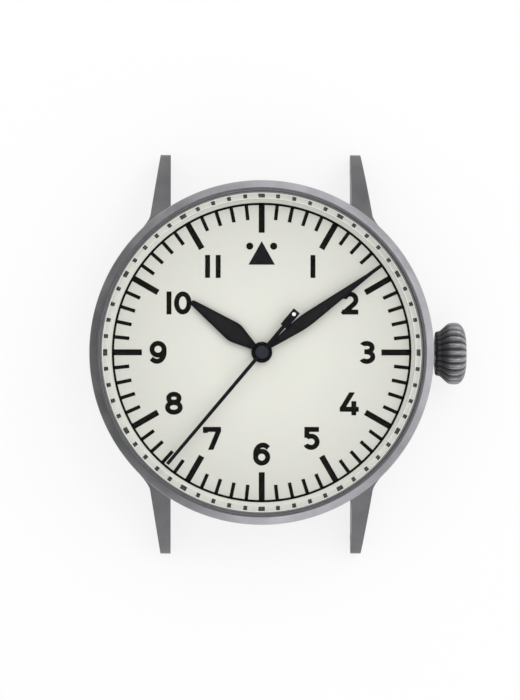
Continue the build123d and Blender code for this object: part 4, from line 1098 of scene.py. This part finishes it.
@dataclass
class Bezel:
    """The bezel with its polished lip, the crystal and the ring that holds it."""

    radius: float = 21.0
    slope_start: float = 20.09
    slope_foot: float = 9.25
    lip_inner: float = 19.74
    skirt_inner: float = 18.7
    skirt_outer: float = 19.0
    crystal_radius: float = 19.45
    bevel: tuple[tuple[float, float], ...] = ((18.76, 0.0), (18.99, 0.23), (19.45, 1.05))
    gasket_inner: float = 19.47
    gasket_outer: float = 19.72
    gasket_top: float = 9.73
    gasket_dome: float = 0.01
    round: float = 0.05
    nick: float = 0.03
    gap: float = 0.02
    segments: int = 256

    def bezel(self) -> Surface:
        """Return the bezel, marked 0 where blasted, 1 on the lip and 2 on the skirt.

        Returns:
            The closed surface.
        """
        gap, nick, low = self.gap, self.nick, BEZEL_FOOT + self.gap
        profile = (
            (self.skirt_inner, DIAL_TOP + gap, 2),
            (self.skirt_inner, CRYSTAL_BACK - gap, 2),
            (self.lip_inner, CRYSTAL_BACK - gap, 1),
            (self.lip_inner, BEZEL_TOP - self.round, 1),
            (self.lip_inner + self.round, BEZEL_TOP, 1),
            (self.slope_start - gap, BEZEL_TOP, 1),
            (self.slope_start + gap, BEZEL_TOP - gap),
            (self.radius - nick, self.slope_foot + gap),
            (self.radius, self.slope_foot - nick),
            (self.radius, low + self.round),
            (self.radius - self.round, low),
            (self.skirt_outer, low),
            (self.skirt_outer, DIAL_TOP + gap),
        )
        return lathe(profile, self.segments)

    def crystal(self) -> Surface:
        """Return the crystal, marked 0 on its faces and 1 on its edge and bevel.

        Returns:
            The closed surface.
        """
        low, high, nick = CRYSTAL_BACK, CRYSTAL_TOP, self.nick
        profile = (
            (0.0, low),
            (self.crystal_radius - nick, low, 1),
            (self.crystal_radius, low + nick, 1),
            *[(radius, high - drop, 1) for radius, drop in reversed(self.bevel[1:])],
            (self.bevel[0][0], high),
            (0.0, high),
        )
        return lathe(profile, self.segments)

    def gasket(self) -> Surface:
        """Return the thin ring between the crystal and the bezel, slightly domed.

        Returns:
            The closed surface.
        """
        inner, outer, top = self.gasket_inner, self.gasket_outer, self.gasket_top
        shoulder, foot = top - self.gasket_dome, top - self.gasket_dome - self.round
        profile = (
            (inner, CRYSTAL_BACK),
            (outer, CRYSTAL_BACK),
            (outer, foot),
            (outer - self.round, shoulder),
            ((inner + outer) / 2, top),
            (inner + self.round, shoulder),
            (inner, foot),
        )
        return lathe(profile, self.segments)

    def build(self) -> None:
        """Make the bezel, the crystal and its gasket."""
        steel = [Finish.BEZEL, Finish.LIP, Finish.SKIRT]
        glass = [Finish.SAPPHIRE, Finish.SAPPHIRE_EDGE]
        Piece("bezel_ring", self.bezel(), steel, "case", "case_steel", ["bezel"], 12).build()
        Piece("crystal_glass", self.crystal(), glass, "case", "crystal", ["crystal"], 14).build()
        Piece("crystal_seal", self.gasket(), [Finish.SEAL], "case", "seal", ["crystal_gasket"], 60).build()


@dataclass
class Strokes:
    """Numerals drawn with strokes of one width: fields are distances to their edges."""

    half_width: float
    height: float

    def bar(self, start: tuple[float, float], end: tuple[float, float]) -> Field:
        """Return a straight stroke with square ends.

        The distance is the larger of that across the stroke and that along it.

        Args:
            start: One end of its middle line.
            end: The other end.

        Returns:
            The field.
        """
        a, b = np.array(start), np.array(end)
        half = np.linalg.norm(b - a) / 2
        way, middle = (b - a) / (2 * half), (a + b) / 2

        def field(x: np.ndarray, y: np.ndarray) -> np.ndarray:
            """Return the distance to the stroke's edge.

            Args:
                x: Distances to the right of the middle.
                y: Distances above the middle.

            Returns:
                The distances.
            """
            along = (x - middle[0]) * way[0] + (y - middle[1]) * way[1]
            across = (y - middle[1]) * way[0] - (x - middle[0]) * way[1]
            return np.maximum(np.abs(along) - half, np.abs(across) - self.half_width)

        return field

    def bow(
        self, centre: tuple[float, float], reach: tuple[float, float], start: float = 0, end: float = 360
    ) -> Field:
        """Return a stroke along part of an ellipse, anticlockwise from start to end.

        With q the root of (x/a)^2 + (y/b)^2, the distance is near (q - 1) / |grad q|.
        Two half planes through the centre cut the ends.

        Args:
            centre: Centre of the ellipse.
            reach: Its half axes, to the stroke's middle.
            start: First direction in degrees.
            end: Last direction in degrees.

        Returns:
            The field.
        """

        def field(x: np.ndarray, y: np.ndarray) -> np.ndarray:
            """Return the distance to the stroke's edge.

            Args:
                x: Distances to the right of the middle.
                y: Distances above the middle.

            Returns:
                The distances.
            """
            dx, dy = x - centre[0], y - centre[1]
            q = np.sqrt((dx / reach[0]) ** 2 + (dy / reach[1]) ** 2) + 1e-9
            slope = np.sqrt((dx / reach[0] ** 2) ** 2 + (dy / reach[1] ** 2) ** 2) / q + 1e-9
            stroke = np.abs((q - 1) / slope) - self.half_width
            if end - start >= 360:
                return stroke
            first, last = math.radians(start), math.radians(end)
            before = dx * math.sin(first) - dy * math.cos(first)
            after = dy * math.cos(last) - dx * math.sin(last)
            cut = np.maximum(before, after) if end - start <= 180 else np.minimum(before, after)
            return np.maximum(stroke, cut)

        return field

    def together(self, *fields: Field) -> Field:
        """Return all strokes as one shape, level at the numeral's head and foot.

        Args:
            *fields: The strokes.

        Returns:
            The field.
        """

        def field(x: np.ndarray, y: np.ndarray) -> np.ndarray:
            """Return the distance to the nearest stroke's edge."""
            nearest = np.minimum.reduce([one(x, y) for one in fields])
            return np.maximum(nearest, np.abs(y) - self.height / 2)

        return field

    def digits(self) -> dict[str, Field]:
        """Return the ten digits, centred, as plain geometric strokes.

        Returns:
            The field of each digit, by its character.
        """
        top = self.height / 2
        mid = top - self.half_width
        bar, bow, shape = self.bar, self.bow, self.together
        six = shape(
            bow((0, -0.375), (0.735, mid - 0.375)),
            bow((0.14, 0.02), (0.875, mid - 0.02), 47, 182),
            bar((-0.735, -0.4), (-0.735, 0.06)),
        )
        return {
            "1": shape(bar((0, -top), (0, top))),
            "2": shape(
                bow((0.02, mid - 0.69), (0.69, 0.69), -50, 172),
                bar((0.464, mid - 1.218), (-0.95, -1.36)),
                bar((-0.98, -mid), (1.0, -mid)),
            ),
            "3": shape(
                bow((-0.02, 0.6), (0.66, mid - 0.6), -90, 152),
                bow((-0.02, -0.52), (0.73, mid - 0.52), -152, 90),
                bar((-0.32, 0.08), (0.0, 0.08)),
            ),
            "4": shape(
                bar((0.47, 1.6), (-0.9, -0.66)),
                bar((-1.16, -0.66), (1.16, -0.66)),
                bar((0.56, 0.33), (0.56, -top)),
            ),
            "5": shape(
                bar((-0.8, mid), (0.92, mid)),
                bar((-0.555, top), (-0.555, 0.06)),
                bow((-0.04, -0.41), (0.74, mid - 0.41), -152, 138),
            ),
            "6": six,
            "7": shape(
                bar((-1.02, mid), (1.08, mid)),
                bar((0.87, 1.1), (-0.3, -1.7)),
                bar((-0.82, top), (-0.82, 0.66)),
            ),
            "8": shape(bow((0, 0.61), (0.63, mid - 0.61)), bow((0, -0.51), (0.77, mid - 0.51))),
            "9": lambda x, y: six(-x, -y),
            "0": shape(bow((0, 0), (0.76, mid))),
        }


@dataclass
class Dial:
    """The cream dial plate with everything printed on it."""

    radius: float = 18.9
    hole: float = 1.15
    edge: float = 0.03
    foot_reach: float = 16.4
    foot_angle: float = 35.0
    foot_radius: float = 0.35
    foot_edge: float = 0.07
    foot_length: float = 1.0
    ink_height: float = 0.02
    ink_round: float = 0.04
    track_radius: float = 18.12
    track_width: float = 0.28
    minute_tick: tuple[float, float] = (1.9, 0.43)
    hour_bar: tuple[float, float] = (3.52, 0.72)
    numeral_height: float = 2.79
    numeral_half_width: float = 1.4
    numeral_margin: float = 0.1
    stroke: float = 0.6
    grid_step: float = 0.06
    numerals: tuple[tuple[str, float, float], ...] = (
        ("1", 6.25, 10.48),
        ("2", 10.78, 6.02),
        ("3", 12.83, 0.0),
        ("4", 10.67, -6.27),
        ("5", 6.05, -10.48),
        ("6", 0.0, -12.39),
        ("7", -6.04, -10.48),
        ("8", -10.7, -6.2),
        ("9", -12.63, 0.0),
        ("1", -11.3, 6.02),
        ("0", -9.62, 6.02),
        ("1", -6.6, 10.48),
        ("1", -5.31, 10.48),
    )
    triangle: tuple[tuple[float, float], ...] = ((-1.62, 10.7), (1.62, 10.7), (0.0, 13.57))
    triangle_round: float = 0.07
    dot_place: tuple[float, float] = (1.46, 12.96)
    dot_radius: float = 0.43

    def plate(self) -> Surface:
        """Return the plate with its two feet, marked 0 where painted and 1 where bare.

        Returns:
            The closed surface.
        """
        low, high, edge = DIAL_BACK, DIAL_TOP, self.edge
        profile = (
            (self.hole, low, 1),
            (self.radius - edge, low, 1),
            (self.radius, low + edge, 1),
            (self.radius, high - edge),
            (self.radius - edge, high),
            (self.hole + edge, high),
            (self.hole, high - edge, 1),
        )
        end, radius, cut = low - self.foot_length, self.foot_radius, self.foot_edge
        pin = ((0, end, 1), (radius - cut, end, 1), (radius, end + cut, 1), (radius, low, 1), (0, low, 1))
        foot = lathe(pin, 24)
        angle = math.radians(self.foot_angle)
        reach = np.array([math.cos(angle), math.sin(angle), 0]) * self.foot_reach
        feet = [foot.moved(np.eye(3), way * reach) for way in (1, -1)]
        return joined(lathe(profile, 192), *feet)

    def mark(self, outline: np.ndarray, degrees: float = 0.0) -> Surface:
        """Return a printed mark, turned clockwise from 12."""
        return slab(turned(outline, -degrees), DIAL_TOP, DIAL_TOP + self.ink_height)

    def tick(self, size: tuple[float, float], degrees: float) -> Surface:
        """Return a tick of a length and width that hangs from the track.

        Args:
            size: Its length and width.
            degrees: Its place, clockwise from 12.

        Returns:
            The closed surface.
        """
        half, outer, inner = size[1] / 2, self.track_radius, self.track_radius - size[0]
        corners = np.array([(-half, inner), (half, inner), (half, outer), (-half, outer)])
        return self.mark(rounded(corners, self.ink_round, 3), degrees)

    def build(self) -> None:
        """Make the plate, the minute track, the bars, the triangle and the numerals."""
        top = DIAL_TOP + self.ink_height
        inner, outer = (self.track_radius + way * self.track_width / 2 for way in (-1, 1))
        circle = lathe(((inner, DIAL_TOP), (outer, DIAL_TOP), (outer, top), (inner, top)), 256)
        ticks = [self.tick(self.minute_tick, 6 * n) for n in range(60) if n % 5]
        bars = [self.tick(self.hour_bar, 30 * n) for n in range(12)]
        triangle = self.mark(rounded(np.array(self.triangle), self.triangle_round, 3))
        across, level = self.dot_place
        dots = [self.mark(disc(self.dot_radius, 40, (way * across, level))) for way in (-1, 1)]
        shapes = Strokes(self.stroke / 2, self.numeral_height).digits()
        half_size = (self.numeral_half_width, self.numeral_height / 2 + self.numeral_margin)
        numbers = []
        for digit, x, y in self.numerals:
            shape = raised_field(shapes[digit], half_size, self.grid_step, DIAL_TOP, top)
            numbers.append(shape.moved(np.eye(3), (x, y, 0)))
        for name, surface, finishes, replaced in (
            ("dial_plate", self.plate(), [Finish.DIAL, Finish.DIAL_BLANK], ["dial"]),
            ("minute_track", joined(circle, *ticks), [Finish.INK], []),
            ("hour_bars", joined(*bars), [Finish.INK], []),
            ("twelve_triangle", triangle, [Finish.TRIANGLE_INK], []),
            ("twelve_dots", joined(*dots), [Finish.INK], []),
            ("hour_numerals", joined(*numbers), [Finish.INK], []),
        ):
            Piece(name, surface, finishes, "case", "dial", replaced).build()


@dataclass
class Hand:
    """One hand: a bevelled blade, its fill and the boss on its tube."""

    name: str
    body: str
    node: str
    clock_angle: float
    low: float
    half_outline: tuple[tuple[float, float], ...]
    boss_radius: float
    hole_radius: float
    boss_finish: Finish = Finish.BOSS
    boss_drop: float = 0.09
    boss_top: float = 0.23
    boss_round: float = 0.1
    thickness: float = 0.14
    border: float = 0.0
    fill: tuple[float, float] = (0.0, 0.0)
    fill_depth: float = 0.02
    fill_rise: float = 0.015
    corner: float = 0.5
    edge: float = 0.035

    def outline(self, inset: float = 0.0, start: float = -99.0, end: float = 99.0) -> np.ndarray:
        """Return the blade's outline, drawn in by an inset and cut at two distances.

        Args:
            inset: How far the sides move in.
            start: Nearest distance from the centre.
            end: Farthest distance.

        Returns:
            Array of x, y with the tip towards +x.
        """
        along, across = np.array(self.half_outline).T
        stations = np.unique(np.clip(along, max(start, along[0]), min(end, along[-1])))
        widths = np.interp(stations, along, across) - inset
        return np.vstack([np.column_stack([stations, -widths]), np.column_stack([stations, widths])[::-1]])

    def laid(self, outline: np.ndarray, low: float, high: float) -> Surface:
        """Return an outline raised between two heights and turned to the hand's angle."""
        return slab(turned(outline, 90 - self.clock_angle), low, high)

    def boss(self) -> Surface:
        """Return the round boss with its domed rim, open or closed in the middle.

        Returns:
            The closed surface.
        """
        low, high = self.low - self.boss_drop, self.low + self.boss_top
        outer, hole, bend = self.boss_radius, self.hole_radius, self.boss_round
        turn = np.linspace(0, np.pi / 2, 5)
        rim = [(outer - bend + bend * math.cos(a), high - bend + bend * math.sin(a), 1) for a in turn]
        return lathe(((hole, low, 1), (outer, low, 1), *rim, (hole, high, 1)), 64)

    def blade(self) -> Surface:
        """Return the blade with rounded corners."""
        return self.laid(rounded(self.outline(), self.corner, 6), self.low, self.low + self.thickness)

    def inlay(self) -> Piece | None:
        """Return the fill in the blade, or nothing where it has no border.

        Returns:
            The piece, if there is one.
        """
        if not self.border:
            return None
        shape, top = rounded(self.outline(self.border, *self.fill), self.corner, 6), self.low + self.thickness
        surface = self.laid(shape, top - self.fill_depth, top + self.fill_rise)
        return Piece(f"{self.name}_fill", surface, [Finish.HAND_FILL], self.body, "hand_lacquer")

    def build(self) -> None:
        """Make the blade with its boss, and what lies on it."""
        whole = joined(self.blade(), self.boss())
        finishes = [Finish.HAND, self.boss_finish]
        Piece(
            self.name, whole, finishes, self.body, "hand_lacquer", [self.node], 35, self.edge
        ).build()
        inlay = self.inlay()
        if inlay is not None:
            inlay.build()


@dataclass
class SecondHand(Hand):
    """The second hand, with the framed counterweight and its spot of lume."""

    weight: tuple[float, float] = (4.08, 6.6)
    weight_width: float = 0.97
    weight_round: float = 0.06
    weight_rise: float = 0.001
    spot_reach: float = 6.06
    spot_radius: float = 0.24
    fill_depth: float = 0.01
    fill_rise: float = 0.02

    def blade(self) -> Surface:
        """Return the needle with its counterweight.

        Returns:
            The closed surface.
        """
        low, high, rise = self.low, self.low + self.thickness, self.weight_rise
        (near, far), half = self.weight, self.weight_width / 2
        corners = np.array([(-far, -half), (-near, -half), (-near, half), (-far, half)])
        weight = self.laid(rounded(corners, self.weight_round, 3), low - rise, high + rise)
        return joined(self.laid(self.outline(), low, high), weight)

    def inlay(self) -> Piece:
        """Return the spot on the counterweight.

        Returns:
            The piece, if there is one.
        """
        top = self.low + self.thickness
        round_spot = disc(self.spot_radius, 28, (-self.spot_reach, 0))
        spot = self.laid(round_spot, top - self.fill_depth, top + self.fill_rise)
        return Piece("second_spot", spot, [Finish.LUME], self.body, "hand_lacquer")


@dataclass
class Crown:
    """The fluted onion crown and the tube that it turns on."""

    start: float = 21.45
    length: float = 3.75
    radius: float = 3.8
    flutes: int = 24
    flute_depth: float = 0.09
    flute_run: tuple[float, float] = (1.02, 0.14)
    bore_radius: float = 1.75
    bore_depth: float = 2.2
    bore_edge: float = 0.05
    flat_end: float = 0.4
    neck_share: float = 0.8
    bore_wall: float = 0.1
    steps_per_flute: int = 12
    shape: tuple[tuple[float, float], ...] = (
        (0.0, 0.67),
        (0.025, 0.705),
        (0.08, 0.72),
        (0.15, 0.735),
        (0.2, 0.775),
        (0.27, 0.84),
        (0.34, 0.905),
        (0.4, 0.955),
        (0.46, 0.985),
        (0.55, 1.0),
        (0.68, 1.0),
        (0.76, 0.985),
        (0.82, 0.95),
        (0.88, 0.89),
        (0.93, 0.81),
        (0.965, 0.72),
        (0.985, 0.64),
        (1.0, 0.56),
    )
    tube_outer: float = 1.3
    tube_inner: float = 0.85
    tube_span: tuple[float, float] = (18.6, 22.9)
    tube_edge: float = 0.1

    def rib(self, turn: np.ndarray) -> np.ndarray:
        """Return the ribs' height from 0 to 1: (1/2 + cos(n v) / 2)^0.8."""
        return (0.5 + 0.5 * np.cos(turn * self.flutes)) ** 0.8

    def fluted(self) -> Surface:
        """Return the crown standing on its bore: radius times 1 - depth (1 - rib).

        The depth runs out towards the flat end, which is marked 1.

        Returns:
            The closed surface.
        """
        bore, start, bore_end = self.bore_radius, self.start, self.start + self.bore_depth
        opening = [(bore, bore_end), (bore, start + self.bore_edge), (bore + self.bore_edge, start)]
        flank = [(share * self.radius, start + self.length * along) for along, share in self.shape]
        end, last = start + self.length, flank.pop()
        closing = [(*last, 1), (self.flat_end * self.radius, end, 1), (0.0, end, 1), (0.0, bore_end, 1)]
        along = np.array([share for share, _ in self.shape])
        fade = np.clip((self.flute_run[0] - along) / self.flute_run[1], 0.0, 1.0)
        fade[0] *= self.neck_share
        depth = np.concatenate([np.zeros(len(opening)), self.flute_depth * fade, np.zeros(3)])

        def reach(row: np.ndarray, turn: np.ndarray) -> np.ndarray:
            """Return how much of its radius a corner keeps."""
            return 1 - depth[row] * (1 - self.rib(turn))

        return lathe([*opening, *flank, *closing], self.flutes * self.steps_per_flute, reach)

    def build(self) -> None:
        """Make the crown, write down its flutes' depth for the finish, and make its tube."""
        surface = self.fluted()
        laid = surface.moved(ALONG_STEM, (0, 0, STEM_AXIS))
        finishes = [Finish.CROWN, Finish.CROWN_END]
        made = Piece("fluted_crown", laid, finishes, "crown", "crown_steel", ["crown"], 40).build()
        # The flutes' depth drives the painted shade in the crown's grooves.
        x, y, _ = surface.points.T
        outside = np.hypot(x, y) > self.bore_radius + self.bore_wall
        sunk = np.where(outside, 1 - self.rib(np.arctan2(y, x)), 0.0)
        depths = made.data.attributes.new("flute_depth", "FLOAT", "POINT")
        depths.data.foreach_set("value", sunk.astype(np.float32))
        inner, outer, cut = self.tube_inner, self.tube_outer, self.tube_edge
        low, high = self.tube_span
        profile = ((inner, low), (outer, low), (outer, high - cut), (outer - cut, high), (inner, high))
        tube = lathe(profile, 48).moved(ALONG_STEM, (0, 0, STEM_AXIS))
        Piece("stem_tube", tube, [Finish.TUBE], "case", "case_steel", ["crown_tube"]).build()


@dataclass
class Works:
    """Everything that the part's source makes well enough to show as it is."""

    finishes: tuple[tuple[Finish, str], ...] = (
        (Finish.BACK, "case_back"),
        (Finish.BLACK_SEAL, "case_back_gasket crown_gasket"),
        (Finish.PLATE, "main_plate barrel_bridge train_bridge balance_cock pallet_bridge"),
        (Finish.SCREW, "bridge_screws casing_screws ratchet_screw crown_wheel_screw"),
        (Finish.RUBY, "jewels pallet_stones"),
        (Finish.BRASS, "barrel_drum barrel_cover centre_wheel third_wheel fourth_wheel"),
        (Finish.BRASS, "minute_wheel hour_wheel balance_wheel"),
        (Finish.WORK_STEEL, "barrel_arbor mainspring crown_wheel ratchet_wheel click click_spring"),
        (Finish.WORK_STEEL, "escape_wheel pallet_fork hairspring cannon_pinion setting_wheel"),
        (Finish.WORK_STEEL, "winding_stem winding_pinion sliding_pinion setting_lever yoke casing_clamps"),
    )

    def build(self) -> None:
        """Dress the nodes that stay as they are."""
        for finish, names in self.finishes:
            for name in names.split():
                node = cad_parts[name]
                material = finish.material()
                if not node.material_slots:
                    node.data.materials.append(material)
                for holder in node.material_slots:
                    holder.material = material
                LOG.info("%s: kept, %s", name, finish.value.name)


@dataclass
class Studio:
    """Floor, soft light, pale surroundings and the camera straight above the dial."""

    scale: float = 0.12227
    centre_pixel: tuple[float, float] = (261.45, 352.75)
    lean: tuple[float, float] = (1.7, -1.2)
    image: tuple[int, int] = (520, 700)
    lens: float = 200.0
    sensor: float = 36.0
    clip: tuple[float, float] = (0.02, 20.0)
    floor_size: float = 3000.0
    floor_level: float = -0.05
    level: float = 0.84
    lamp_size: float = 220.0
    lamps: tuple[tuple[str, tuple[float, float, float], float], ...] = (
        ("key", (170.0, 150.0, 270.0), 0.3),
        ("fill", (-120.0, 190.0, 270.0), 0.1),
        ("front", (60.0, -220.0, 260.0), 0.12),
    )

    def surroundings(self) -> None:
        """Set the world: plain light, white to the eye and darker overhead in reflections."""
        world = bpy.data.worlds.new("studio")
        world.use_nodes = True
        bpy.context.scene.world = world
        shading = Shading(world.node_tree)
        x, y, z = shading.split(shading.wire("ShaderNodeTexCoord", output="Generated"))
        side = x.clamped(-0.95, 0.15)
        cards = 1 - x * x * y * y * 2.2
        tone = (side * 0.88 + 0.1) * (1 - z.clamped(0.3, 0.95) * 0.75) * cards
        lilac = shading.blend(side, (0.93, 0.97, 0.98), (1.0, 0.97, 1.05))
        toned = shading.wire("ShaderNodeVectorMath", {"operation": "SCALE"}, {0: lilac, "Scale": tone})
        colour = shading.blend(shading.rays("Glossy", "Transmission"), (self.level,) * 3, toned)
        colour = shading.blend(shading.rays("Camera"), colour, (1.0, 1.0, 1.0))
        light = shading.wire("ShaderNodeBackground", {}, {"Color": colour, "Strength": 1.0})
        shading.node("ShaderNodeOutputWorld", {}, {"Surface": light})

    def floor(self) -> None:
        """Lay a pale floor that is white to the eye and keeps the watch's shadow."""
        half = self.floor_size / 2
        sides = ((-1, -1), (1, -1), (1, 1), (-1, 1))
        corners = np.array([(x * half, y * half, self.floor_level) for x, y in sides])
        made = meshed("floor", Surface(corners, [(0, 1, 2, 3)], np.zeros(1, int)))
        made.data.materials.append(Paper("floor_paper", (0.86, 0.86, 0.86)).material())

    def lamp(self, name: str, place: tuple[float, float, float], power: float) -> None:
        """Hang a soft square lamp that faces the watch.

        Args:
            name: Its name.
            place: Its place in millimetres.
            power: Its power in watts.
        """
        data = bpy.data.lights.new(name, "AREA")
        data.shape, data.size, data.energy = "SQUARE", self.lamp_size * MM, power
        made = placed(name, data)
        made.location = np.array(place) * MM
        made.rotation_mode = "QUATERNION"
        made.rotation_quaternion = (-made.location).to_track_quat("-Z", "Y")

    def camera(self) -> None:
        """Set the camera above the dial, leaning a little towards 6 and 9 as in the photograph."""
        data = bpy.data.cameras.new("above")
        data.lens, data.sensor_width = self.lens, self.sensor
        data.clip_start, data.clip_end = self.clip
        distance = self.image[1] * self.scale * self.lens / self.sensor
        x = (self.image[0] / 2 - self.centre_pixel[0]) * self.scale
        y = (self.centre_pixel[1] - self.image[1] / 2) * self.scale
        about_x, about_y = (math.radians(degrees) for degrees in self.lean)
        way = (math.cos(about_x) * math.sin(about_y), -math.sin(about_x), math.cos(about_x) * math.cos(about_y))
        made = placed("above", data)
        made.location = (Vector((x, y, DIAL_TOP)) + Vector(way) * distance) * MM
        made.rotation_euler = (about_x, about_y, 0.0)
        bpy.context.scene.camera = made

    def build(self) -> None:
        """Set the view, the floor, the light and the camera."""
        bpy.context.scene.view_settings.view_transform = "Standard"
        self.surroundings()
        self.floor()
        for lamp in self.lamps:
            self.lamp(*lamp)
        self.camera()


def hands() -> list[Hand]:
    """Return the three hands at about nine and a half minutes past ten.

    Returns:
        The hour, the minute and the second hand.
    """
    hour = Hand(
        "hour_pointer", "hours", "hour_hand", 305.7, 7.65,
        ((0.9, 0.33), (4.07, 1.26), (10.6, 0.31)), 1.28, 1.07, border=0.3, fill=(1.9, 9.6),
    )
    minute = Hand(
        "minute_pointer", "minutes", "minute_hand", 54.1, 8.07,
        ((0.8, 0.22), (6.3, 0.87), (18.0, 0.105)), 1.05, 0.74, border=0.24, fill=(2.6, 13.6), corner=1.2,
    )
    second = SecondHand(
        "second_pointer", "seconds", "second_hand", 220.2, 8.49,
        ((-4.2, 0.23), (0.0, 0.23), (17.8, 0.21)), 0.8, 0.0, Finish.CAP, boss_round=0.08, edge=0.02,
    )
    return [hour, minute, second]


def main() -> None:
    """Build the watch and its studio."""
    logging.basicConfig(level=logging.INFO, format="%(name)s %(message)s")
    for part in (Studio(), CaseBody(), Bezel(), Dial(), *hands(), Crown(), Works()):
        LOG.info("building %s", type(part).__name__)
        part.build()


if __name__ == "__main__":
    main()
